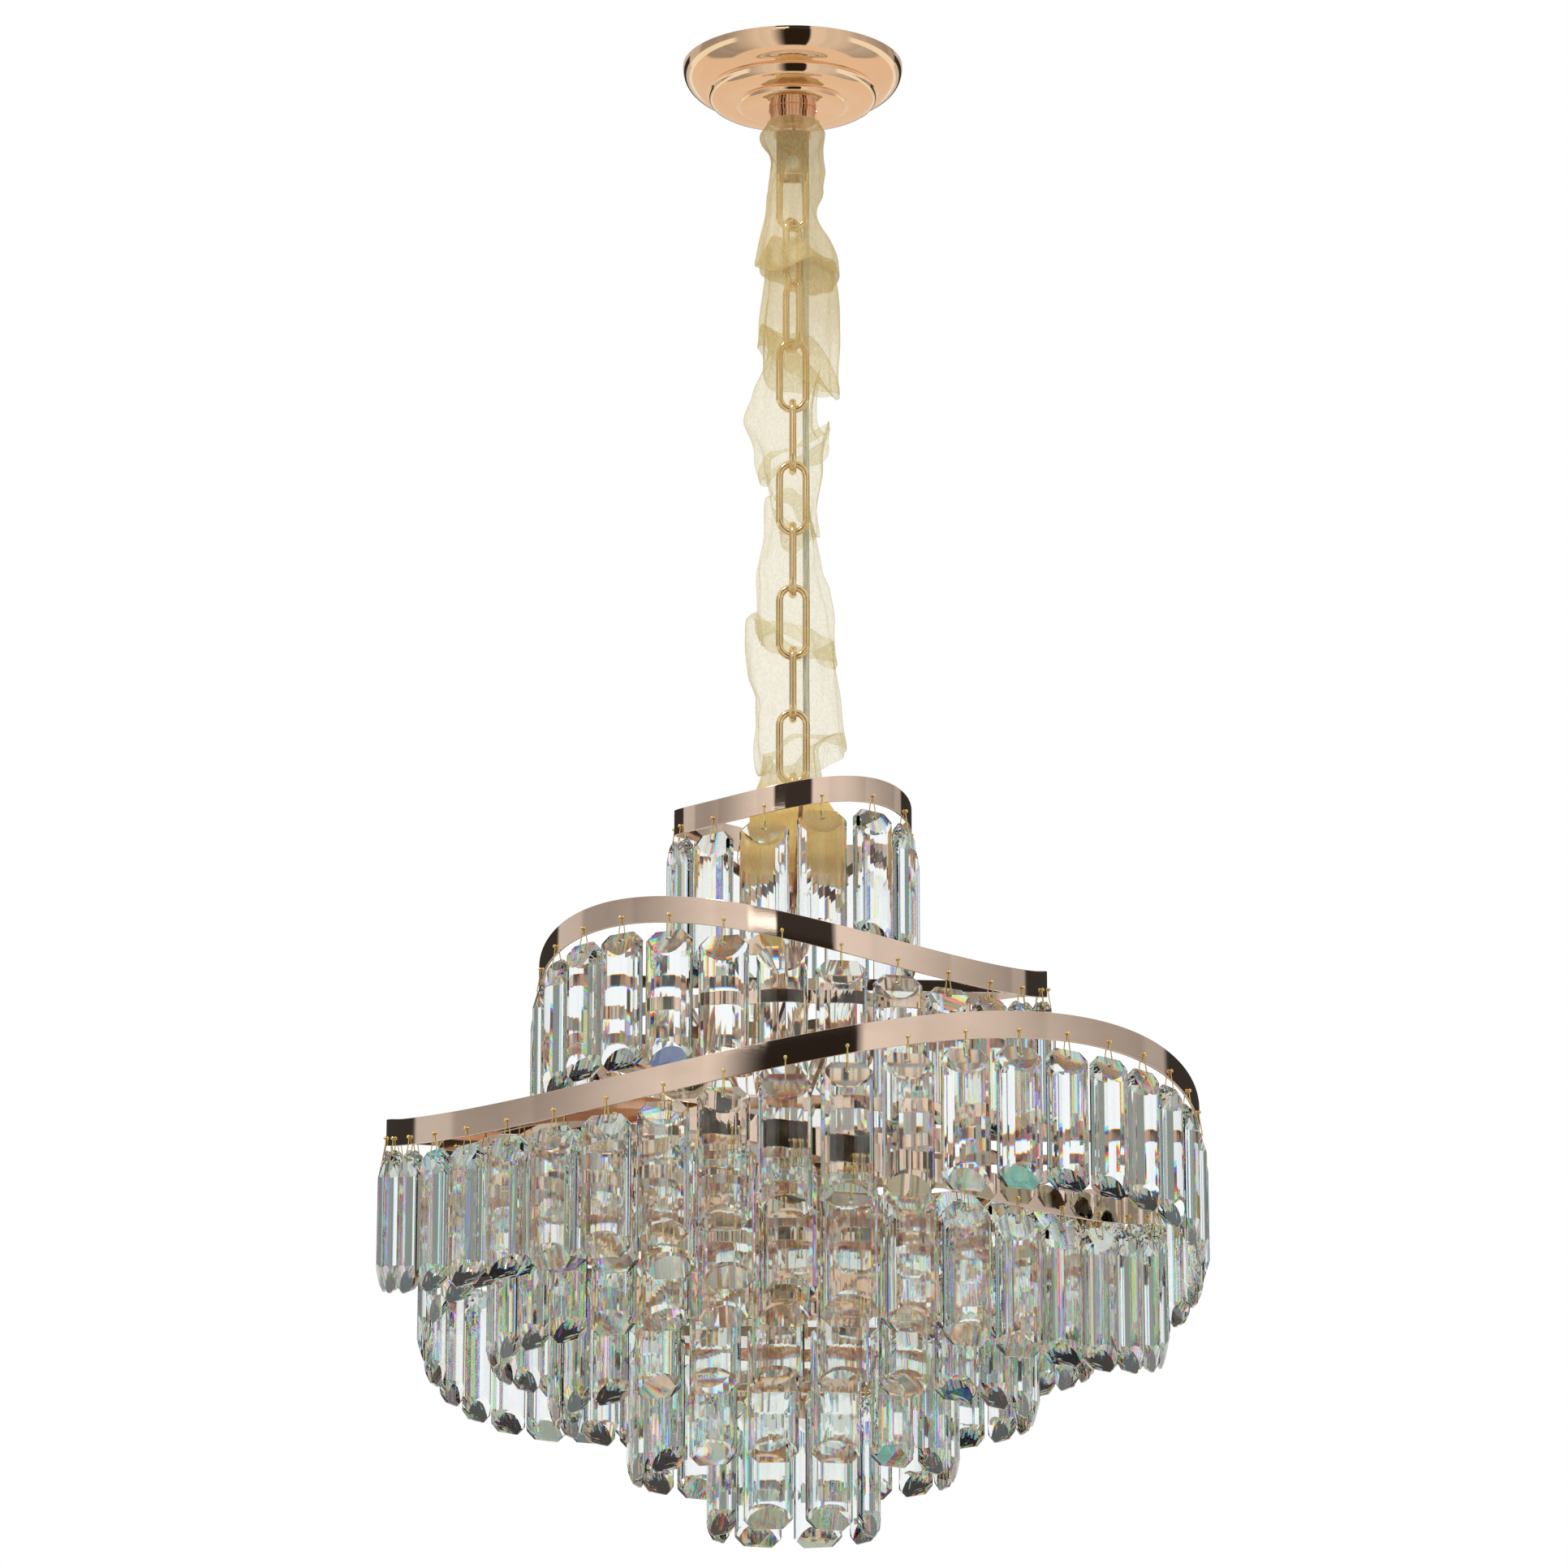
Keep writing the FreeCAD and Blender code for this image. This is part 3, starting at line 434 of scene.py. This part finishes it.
def makeCanopy():
    pickNone()
    radius, height = canopy["profile"][0]
    bpy.ops.mesh.primitive_circle_add(vertices=canopy["sides"], radius=radius * mm,
                                      location=(0, 0, height * mm))
    piece = named("canopy_shell", canopyGold)
    settle(piece)
    bpy.ops.object.mode_set(mode="EDIT")
    bpy.ops.mesh.select_all(action="SELECT")
    for nextRadius, nextHeight in canopy["profile"][1:]:
        drop = (0, 0, (nextHeight - height) * mm)
        bpy.ops.mesh.extrude_region_move(TRANSFORM_OT_translate={"value": drop})
        ratio = nextRadius / radius
        bpy.ops.transform.resize(value=(ratio, ratio, 1), center_override=(0, 0, 0))
        radius, height = nextRadius, nextHeight
    bpy.ops.mesh.select_all(action="SELECT")
    bpy.ops.mesh.normals_make_consistent(inside=False)
    bpy.ops.object.mode_set(mode="OBJECT")
    finishWith(piece, "SUBSURF", levels=1, render_levels=1)
    finishWith(piece, "SOLIDIFY", thickness=canopy["wall"], offset=-1.0)
    smoothed(piece, canopy["smoothBelow"])
    return piece


canopyShell = makeCanopy()
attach(canopyShell, "ceiling_fixing")
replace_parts(canopyShell, "canopy_cover")
print("canopy made")


strip = {
    "thickness": 1.5 * mm, "hoopHeight": 16 * mm, "ringHeight": 8 * mm, "corners": 256,
    "round": 0.3 * mm, "roundAbove": 50, "smoothBelow": 40,
}
# radius and mean top in millimetres, wave, number of prisms, and where the first is in degrees
tiers = {
    "hoop_1": (73, -489, 7, 13, 180 / 13), "hoop_2": (155, -590, -18, 28, 4 - 180 / 28),
    "hoop_3": (246, -682, 25, 44, -1.1), "hoop_4": (221, -727, -26, 40, 4 + 180 / 40),
    "ring_5": (180, -742, 0, 32, 4 + 180 / 32), "ring_6": (143, -774, 0, 24, 4 + 180 / 24),
    "ring_7": (95, -808, 0, 16, 4 + 180 / 16), "ring_8": (48, -841, 0, 8, 4 + 180 / 8),
}
innerRings = [(130, -630), (171, -701), (143, -716)]  # radius and top


def stripHeight(tier):
    return strip["hoopHeight"] if tier.startswith("hoop") else strip["ringHeight"]


def stripPiece(name, radius, top, height, wave):
    pickNone()
    bpy.ops.mesh.primitive_cylinder_add(vertices=strip["corners"], radius=radius * mm, depth=height,
                                        location=(0, 0, top * mm - height / 2),
                                        end_fill_type="NOTHING")
    piece = named(name, hoopGold)
    settle(piece)
    for vertex in piece.data.vertices:
        theta = math.atan2(vertex.co.x, -vertex.co.y)
        vertex.co.z += wave * mm * math.sin(2 * theta)
    finishWith(piece, "SOLIDIFY", thickness=strip["thickness"], offset=-1.0, use_even_offset=True)
    finishWith(piece, "BEVEL", width=strip["round"], segments=2, limit_method="ANGLE",
               angle_limit=math.radians(strip["roundAbove"]))
    smoothed(piece, strip["smoothBelow"])
    finishWith(piece, "WEIGHTED_NORMAL", keep_sharp=True, weight=100)
    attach(piece, "fixture")
    return piece


for tier, (radius, top, wave, count, first) in tiers.items():
    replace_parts(stripPiece(tier + "_strip", radius, top, stripHeight(tier), wave), tier)
for number, (radius, top) in enumerate(innerRings, 1):
    piece = stripPiece("inner_ring_" + str(number), radius, top, strip["ringHeight"], 0)
    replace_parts(piece, "inner_rings")
print("hoops and rings made")


prism = {  # millimetres
    "size": (30.0, 11.0, 82.0), "aboveHole": 5.0, "hole": 1.3, "holeSides": 8,
    "bevel": 14.5, "ridge": 0.8, "corner": 6.0,  # the slanted ends
    # half width and depth of the facets
    "front": [(3.2, 5.5), (7.0, 5.15), (10.5, 4.2), (13.2, 2.9), (15.0, 1.6)],
    "back": [(2.0, 5.5), (5.4, 5.2), (8.6, 4.65), (11.4, 3.9), (13.4, 2.8), (15.0, 1.6)],
    "drop": 10,  # from the strip's lower edge to the hole
    "yaw": 2.5, "yawSteps": (7.3, 2.1),  # each hangs a few degrees off square, by prism and by tier
}


def facet(first, second, facing):  # a cut along the prism's length, at both sides of its middle
    run = Vector((second[0] - first[0], second[1] - first[1]))
    for side in (1, -1):
        cut((side * first[0] * mm, facing * first[1] * mm, 0.0), (side * -run.y, facing * run.x, 0.0))


def cutPrism():
    width, depth, length = (value * mm for value in prism["size"])
    middle = (prism["aboveHole"] * mm) - length / 2
    slope = prism["size"][1] / 2 - prism["ridge"]
    pickNone()
    bpy.ops.mesh.primitive_cube_add(size=1.0, location=(0, 0, middle), scale=(width, depth, length))
    piece = named("prism", crystalGlass)
    settle(piece)
    bpy.ops.object.mode_set(mode="EDIT")
    for facing, outline in ((-1, prism["front"]), (1, prism["back"])):
        for first, second in zip(outline, outline[1:]):
            facet(first, second, facing)
    for end in (1, -1):
        tip = middle + end * length / 2
        for facing in (1, -1):
            cut((0, facing * prism["ridge"] * mm, tip), (0, facing * prism["bevel"], end * slope))
        for side in (1, -1):
            cut((side * width / 2, 0, tip - end * prism["corner"] * mm), (side, 0, end))
    bpy.ops.object.mode_set(mode="OBJECT")
    pickNone()
    bpy.ops.mesh.primitive_cylinder_add(vertices=prism["holeSides"], radius=prism["hole"] * mm,
                                        depth=depth * 2, rotation=(math.pi / 2, 0, 0))
    drill = bpy.context.object
    finishWith(piece, "BOOLEAN", operation="DIFFERENCE", object=drill, solver="EXACT")
    bpy.data.objects.remove(drill)
    return piece


pin = {  # millimetres from the prism's hole
    "line": [(0, 0.0, 0.0), (0, -2.9, -0.2), (0, -3.3, 0.6), (0, -1.5, 11.0), (0, -1.3, 14.2),
             (0, 0.0, 14.6), (0, 1.3, 14.2), (0, 1.5, 11.0), (0, 3.3, 0.6), (0, 2.9, -0.2),
             (0, 0.0, 0.0)],
    "wire": 0.35, "wireSides": 1, "bead": 1.1, "beadPlace": (0, -1.7, 14.6), "smoothBelow": 60,
}


def bentPin():
    wire = wireForm("pin", inMetres(pin["line"]), pin["wire"] * mm, pin["wireSides"], pinBrass)
    pickNone()
    beadPlace, = inMetres([pin["beadPlace"]])
    bpy.ops.mesh.primitive_uv_sphere_add(segments=10, ring_count=6, radius=pin["bead"] * mm,
                                         location=beadPlace, rotation=(math.pi / 2, 0, 0))
    bead = named("bead", pinBrass)
    pick(wire, bead)
    bpy.ops.object.join()
    smoothed(wire, pin["smoothBelow"])
    return wire


prismSource = cutPrism()
pinSource = bentPin()
for number, (tier, (radius, top, wave, count, first)) in enumerate(tiers.items()):
    middleRadius = radius * mm - strip["thickness"] / 2
    places, pinPlaces = [], []
    for k in range(count):
        theta = first + 360 * k / count
        lift = wave * math.sin(2 * math.radians(theta))
        hole = (top + lift - prism["drop"]) * mm - stripHeight(tier)
        yaw = prism["yaw"] * math.sin(prism["yawSteps"][0] * k + prism["yawSteps"][1] * number)
        places.append(around(middleRadius, theta, hole, yaw))
        pinPlaces.append(around(middleRadius, theta, hole))
    if tier == "ring_8":
        for k, place in enumerate(places, 1):
            piece = copies(prismSource, "bottom_crystal_" + str(k), [place])
            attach(piece, "bottom_prism_" + str(k))
            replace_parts(piece, "bottom_prism_" + str(k))
    else:
        piece = copies(prismSource, tier + "_crystals", places)
        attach(piece, "fixture")
        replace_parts(piece, tier + "_prisms")
    pins = copies(pinSource, tier + "_wires", pinPlaces)
    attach(pins, "fixture")
    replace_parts(pins, "hoop_pins" if tier.startswith("hoop") else "ring_pins")
bpy.data.objects.remove(prismSource)
bpy.data.objects.remove(pinSource)
print("prisms and pins made")


sleeve = {  # millimetres, and shares of the way down
    "top": -38.3, "bottom": -519.0, "around": 112, "along": 520,
    "tail": 14.0, "tailFrom": 0.9,  # the foot hangs this much lower than the bottom
    # percent of the way down, reach to the left and to the right
    "sections": [(0, 17, 18), (1.5, 21, 22), (6, 14, 20), (9, 17.6, 18.3), (12, 17, 13.5),
                 (17, 21.5, 26), (20.3, 17, 28), (23.3, 17.5, 25), (26, 21, 28.5), (31, 22.5, 29),
                 (34.8, 17, 30), (38.2, 27, 18.5), (41, 30, 13.5), (43.7, 21.7, 25), (46, 17, 27),
                 (48.9, 21, 21), (52.3, 15.5, 14), (55.5, 21, 14.5), (57.7, 19.7, 15.5),
                 (61.9, 23, 18.5), (64.3, 21.7, 22), (67.4, 19.7, 24), (70.6, 26.5, 25.5),
                 (72.8, 32, 25), (76.1, 30, 28), (79.9, 24.5, 30.5), (82.6, 22, 32.5),
                 (86.3, 17.5, 32.5), (88.5, 18.5, 17), (91, 20, 19), (94, 28, 29), (98, 30, 32),
                 (100, 25, 27)],
    "flatten": 0.86, "inset": 1.0, "easeIn": 0.04,  # front to back, and how soon the cloth ruffles
    # size, number round the tube, twist and start
    "pleats": [(1.0, 5, 11, 0.0), (0.6, 9, -19, 1.0)],
    "noiseSpace": (1.2, 17.0), "crumple": [(2.8, 1.0), (1.5, 2.3)],  # size and fineness
    "sway": 2.0, "swayFineness": 1.7, "swayStart": (7.0, 3.0, 1.0),
    # each fold's place, slant, where it dips most, depth and width
    "folds": [(0.197, 4.0, 20, 40, 0.028), (0.332, 14.0, 0, 50, 0.030),
              (0.459, 9.0, 170, 32, 0.025), (0.548, 10.0, 40, 32, 0.024),
              (0.712, 9.0, -10, 36, 0.026), (0.863, 8.0, 160, 28, 0.024)],
    # size, number round the tube, and shift from fold to fold
    "wander": (2.0, 3, 40), "swell": (0.2, 2, 30), "ruffle": (1.2, 7, 50), "ruffleAbove": 0.8,
    "tuck": 2.4, "tuckSteepness": 1.5, "tuckFade": 9,
    "joins": [-150.0, -330.0, -450.0],
    "flatWidth": 0.16, "weaveLength": 0.6,  # metres, both chosen: the cloth's real cut isn't known
}


def reachAt(percent, side):
    rows = sleeve["sections"]
    for low, high in zip(rows, rows[1:]):
        if percent <= high[0]:
            share = (percent - low[0]) / (high[0] - low[0])
            share = share * share * (3 - 2 * share)
            return low[side] + (high[side] - low[side]) * share
    return rows[-1][side]


def waveRound(form, angle, place):
    size, count, shift = form
    return size * math.sin(count * angle + shift * place)


def foldAt(fold, angle, down):  # how far a fold lifts the cloth, and how far it moves it outwards
    place, slant, toward, depth, width = fold
    length = sleeve["top"] - sleeve["bottom"]
    wander = (slant * math.cos(angle - math.radians(toward))
              + waveRound(sleeve["wander"], angle, place))
    u = (down - place - wander / length) / width
    full = 1 - sleeve["swell"][0] + waveRound(sleeve["swell"], angle, place)
    ruffle = (waveRound(sleeve["ruffle"], angle, place)
              * math.exp(-(u + sleeve["ruffleAbove"]) ** 2))
    tuck = (sleeve["tuck"] * math.tanh(sleeve["tuckSteepness"] * u)
            * math.exp(-u * u / sleeve["tuckFade"]))
    return depth * full * u * math.exp(-u * u / 2), ruffle - tuck


def clothPoint(turn, down):
    angle = 2 * math.pi * turn
    left, right = reachAt(down * 100, 1), reachAt(down * 100, 2)
    reach = left + (right - left) * (0.5 + 0.5 * math.cos(angle))
    tail = max(0.0, (down - sleeve["tailFrom"]) / (1 - sleeve["tailFrom"]))
    z = sleeve["top"] + (sleeve["bottom"] - sleeve["top"]) * down - sleeve["tail"] * tail
    ease = min(1.0, down / sleeve["easeIn"])
    pleats = sum(size * math.sin(count * angle + twist * down + start)
                 for size, count, twist, start in sleeve["pleats"])
    wide, tall = sleeve["noiseSpace"]
    spot = Vector((math.cos(angle) * wide, math.sin(angle) * wide, down * tall))
    crumple = sum(size * noise.noise(spot * fineness) for size, fineness in sleeve["crumple"])
    sway = noise.noise(spot * sleeve["swayFineness"] + Vector(sleeve["swayStart"]))
    lift, slip = 0.0, 0.0
    for fold in sleeve["folds"]:
        up, out = foldAt(fold, angle, down)
        lift += up
        slip += out
    reach += ease * (pleats + crumple + slip) - sleeve["inset"]
    z += ease * (lift + sleeve["sway"] * sway)
    return Vector((reach * math.cos(angle), sleeve["flatten"] * reach * math.sin(angle), z)) * mm


def makeSleeve():
    pickNone()
    bpy.ops.mesh.primitive_grid_add(x_subdivisions=sleeve["around"], y_subdivisions=sleeve["along"],
                                    size=2.0)
    piece = named("organza", organzaCloth)
    for layer in piece.data.uv_layers:
        for spot in layer.data:
            spot.uv = (spot.uv.x * sleeve["flatWidth"], spot.uv.y * sleeve["weaveLength"])
    for vertex in piece.data.vertices:
        vertex.co = clothPoint(vertex.co.x / 2 + 0.5, 0.5 - vertex.co.y / 2)
    pick(piece)
    bpy.ops.object.mode_set(mode="EDIT")
    bpy.ops.mesh.select_all(action="SELECT")
    bpy.ops.mesh.remove_doubles(threshold=0.01 * mm)  # closes the tube
    bpy.ops.mesh.normals_make_consistent(inside=False)
    bpy.ops.object.mode_set(mode="OBJECT")
    bpy.ops.object.shade_smooth()
    return piece


# number, the cuts above and below, the bodies above and below a stretch,
# and the heights given for a bend's start and end, in millimetres
spans = [
    ("1", None, sleeve["joins"][0], "ceiling_fixing", "upper_chain", -52, -90),
    ("2", sleeve["joins"][0], sleeve["joins"][1], "upper_chain", "lower_chain", -200, -260),
    ("3", sleeve["joins"][1], sleeve["joins"][2], "lower_chain", "last_link", -415, -446),
    ("4", sleeve["joins"][2], None, "last_link", "fixture", -455, -487),
]


def stretches(source, name):  # cuts a long piece where one joint's span gives way to the next
    made = []
    for number, above, below, upper, lower, start, end in spans:
        piece = copies(source, name + "_" + number, [Matrix.Identity(4)])
        pick(piece)
        bpy.ops.object.mode_set(mode="EDIT")
        for height, up in ((above, 1), (below, -1)):
            if height is not None:
                bpy.ops.mesh.select_all(action="SELECT")
                bpy.ops.mesh.bisect(plane_co=(0, 0, height * mm), plane_no=(0, 0, up),
                                    clear_outer=True)
        bpy.ops.object.mode_set(mode="OBJECT")
        start * mm
        end * mm
        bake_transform(piece)
        made.append(piece)
    bpy.data.objects.remove(source)
    return made


for piece in stretches(makeSleeve(), "organza_sleeve"):
    area = sum(face.area for face in piece.data.polygons)
    flatLength = round(area / sleeve["flatWidth"], 3)  # from the modelled area, not from a cut
    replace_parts(piece, "organza_sleeve")
print("organza made")


cable = {
    "radius": 2.0 * mm, "sides": 4, "smoothBelow": 60,
    "points": [(0.9, 0.9, -6), (0.9, 0.9, -56), (6.2, 5.8, -67.5), (8.1, 4.9, -86), (8.6, 5, -118),
               (8.1, 4.8, -156), (8.5, 5, -196), (8, 5.3, -236), (8.6, 6, -276), (8.1, 5.2, -316),
               (8.7, 5.7, -356), (8.1, 5.1, -396), (8.5, 5.6, -434), (8.4, 5, -466), (8.4, 5, -493)],
}
cableLine = wireForm("cable", inMetres(cable["points"]), cable["radius"], cable["sides"], cableSheath)
for piece in stretches(cableLine, "supply_cable"):
    smoothed(piece, cable["smoothBelow"])
    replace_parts(piece, "supply_cable")
print("cable made")


# In both rooms turn is 0 towards the camera, 90 to the right and 180 behind, away is its size,
# and climb is the angle above level, all in degrees. A soft edge's numbers are where it starts
# and where it is full.
metalRoom = {  # what glossy rays see
    "levels": [(-180, 0.02), (-134, 0.02), (-132, 0.62), (-112, 0.60), (-109, 0.38), (-90, 0.36),
               (-78, 0.42), (-76, 0.36), (-64, 0.46), (-48, 0.66), (-36, 0.80), (-34, 0.74),
               (-19, 0.84), (-17, 0.02), (17.5, 0.02), (19.5, 0.84), (34, 0.80), (36, 0.72),
               (48, 0.76), (60, 0.66), (74, 0.50), (76, 0.58), (96, 0.44), (115, 0.36), (118, 0.46),
               (128, 0.44), (131, 0.02)],
    "bright": (1.0, 1.0, 1.0), "dark": (0.022, 0.018, 0.015),
    "shadeTurn": (-25, -7), "shadeEnd": 17.5, "shadeSoft": 0.5, "shadeClimb": (12.3, 12.6),
    "shadeEdge": (0.84, 0.84, 0.84),
    # turn from and to, climb from and to, level
    "windows": [(-20, -7.5, 12.6, 13.5, 1.9), (-18, -4, 16.6, 21.5, 1.6)],
    "windowSoft": (0.7, 0.3),
    "low": (0.86, 0.76, 0.66), "lowClimb": (-56, -50), "lowAway": (98, 106), "levelClimb": (-6, 2),
    "aside": (1.0, 1.08, 1.06), "asideAway": (60, 170, 5), "asideClimb": (-9, 5.5, 1.5),
    "back": (0.66, 0.66, 0.64), "backAway": (129, 134), "endsDark": (8.5, 17.5, 0.7),
    "top": (0.84, 0.84, 0.80), "topClimb": (25, 31),
}
glassRoom = {  # what rays that have gone through the glass see
    "levels": [(-180, 1.0), (-145, 1.0), (-141, 0.0), (-93, 0.0), (-89, 0.9), (-80, 0.9), (-78, -1),
               (-72, -1), (-70, 0.9), (-52, 1.0), (-50, 0.2), (-41, 0.2), (-39, 1.0), (-19, 1.0),
               (-17, -1), (17, -1), (19, 1.0), (33, 1.0), (35, 0.3), (43, 0.3), (45, 1.0), (62, 0.9),
               (64, -1), (72, -1), (74, 0.9), (88, 0.9), (92, 0.0), (139, 0.0), (143, 1.0),
               (180, 1.0)],
    "grey": (0.24, 0.265, 0.24), "dark": (0.02, 0.018, 0.015), "bright": (0.95, 0.97, 1.0),
    "top": (0.44, 0.48, 0.40), "topClimb": (26, 30),
    "stripe": (0.16, 0.20, 0.16), "stripeTurn": 0.7, "stripeSway": (0.13, 1.7),
    "stripeEdge": (0.72, 0.82),
    "low": (0.42, 0.44, 0.38), "lowClimb": (-14, -8), "lowShare": 0.5,
}


def levels(turn, steps, colourOf):
    stops = [((angle + 180) / 360, colourOf(level)) for angle, level in steps]
    return colourRamp(turn * (1 / 360) + 0.5, stops)


def blendOf(first, second, share):
    return tuple(a + (b - a) * share for a, b in zip(first, second))


def metalColour(level):
    return blendOf(metalRoom["dark"], metalRoom["bright"], level)


def glassColour(level):  # -1 dark, 0 grey, 1 bright
    return blendOf(glassRoom["grey"], glassRoom["bright" if level > 0 else "dark"], abs(level))


def metalSees(turn, climb):
    room = metalRoom
    away = turn.sum("ABSOLUTE", turn)
    metal = levels(turn, room["levels"], metalColour)
    shade = mixColour(rise(turn, *room["shadeTurn"]), room["shadeEdge"], room["dark"])
    shaded = band(turn, room["shadeTurn"][0], room["shadeEnd"], room["shadeSoft"])
    metal = mixColour(shaded * (1 - rise(climb, *room["shadeClimb"])), metal, shade)
    turnSoft, climbSoft = room["windowSoft"]
    for low, high, under, over, level in room["windows"]:
        opening = band(turn, low, high, turnSoft) * band(climb, under, over, climbSoft)
        metal = mixColour(opening, metal, (level, level, level))
    upper = rise(climb, *room["levelClimb"])
    below = 1 - rise(climb, *room["lowClimb"]) * (1 - rise(away, *room["lowAway"]) * (1 - upper))
    metal = mixColour(below, metal, room["low"])
    metal = mixColour(band(away, *room["asideAway"]) * band(climb, *room["asideClimb"]),
                      metal, room["aside"])
    behind = rise(away, *room["backAway"]) * (1 - band(climb, *room["endsDark"])) * upper
    metal = mixColour(behind, metal, room["back"])
    return mixColour(rise(climb, *room["topClimb"]), metal, room["top"])


def glassSees(turn, climb):
    room = glassRoom
    glass = levels(turn, room["levels"], glassColour)
    pace, size = room["stripeSway"]
    sway = turn.sum("SINE", turn * pace) * size
    stripes = rise(turn.sum("SINE", turn * room["stripeTurn"] + sway), *room["stripeEdge"])
    above = mixColour(stripes, room["top"], room["stripe"])
    glass = mixColour(rise(climb, *room["topClimb"]), glass, above)
    low = (1 - rise(climb, *room["lowClimb"])) * room["lowShare"]
    return mixColour(low, glass, room["low"])


def lightRoom():
    room = bpy.data.worlds.new("studio")
    room.use_nodes = True
    room.node_tree.nodes.clear()
    start = Signal(room.node_tree)
    way = start.node("ShaderNodeTexCoord", out="Generated")
    x, y, z = (axisOf(way, axis) for axis in ("X", "Y", "Z"))
    turn = start.sum("ARCTAN2", x, -y) * math.degrees(1)
    climb = start.sum("ARCSINE", z) * math.degrees(1)
    metalLight = start.node("ShaderNodeBackground", None, {"Color": metalSees(turn, climb)})
    glassLight = start.node("ShaderNodeBackground", None, {"Color": glassSees(turn, climb)})
    plain = start.node("ShaderNodeBackground", None, {"Color": (1, 1, 1, 1)})
    shiny = start.node("ShaderNodeLightPath", out="Is Glossy Ray")
    through = start.node("ShaderNodeLightPath", out="Is Transmission Ray")
    seen = mixShaders(through, mixShaders(shiny, plain, metalLight), glassLight)
    start.node("ShaderNodeOutputWorld", None, {"Surface": seen})
    bpy.context.scene.world = room


floorPlate = {"height": -4.3, "size": 10.0, "colour": (0.90, 0.87, 0.82)}


def paleFloor():
    def build(start, place):
        return start.node("ShaderNodeBsdfDiffuse", None, {"Color": colour4(floorPlate["colour"])})
    pickNone()
    bpy.ops.mesh.primitive_plane_add(size=floorPlate["size"], location=(0, 0, floorPlate["height"]))
    floor = named("studio_floor", newMaterial("pale floor", build))
    settle(floor)
    floor.visible_glossy = False  # what the metal mirrors is the room's own light
    floor.visible_transmission = False


lamp = {"place": (-1.1, -1.6, 1.9), "aim": (0, 0, -0.5), "size": 0.4, "power": 32.0}


def softLight():
    pickNone()
    aim = Vector(lamp["aim"]) - Vector(lamp["place"])
    bpy.ops.object.light_add(type="AREA", location=lamp["place"],
                             rotation=aim.to_track_quat("-Z", "Y").to_euler())
    light = bpy.context.object
    light.visible_transmission = False
    light.data.size = lamp["size"]
    light.data.energy = lamp["power"]


camera = {
    "place": (-0.0055, -3.365, -1.339), "tilt": 90 + 14.45, "lens": 129.5, "sensor": 36.0,
    "farthest": 200.0,
    "bounces": {"max_bounces": 24, "transmission_bounces": 20, "transparent_max_bounces": 24,
                "glossy_bounces": 6, "diffuse_bounces": 3},
}


def setCamera():
    pickNone()
    bpy.ops.object.camera_add(location=camera["place"], rotation=(math.radians(camera["tilt"]), 0, 0))
    view = bpy.context.object
    view.data.sensor_width = camera["sensor"]
    view.data.lens = camera["lens"]
    view.data.clip_end = camera["farthest"]
    scene = bpy.context.scene
    scene.camera = view
    scene.view_settings.view_transform = "Standard"
    for name, count in camera["bounces"].items():
        setattr(scene.cycles, name, count)


lightRoom()
paleFloor()
softLight()
setCamera()
print("room, light and camera set")
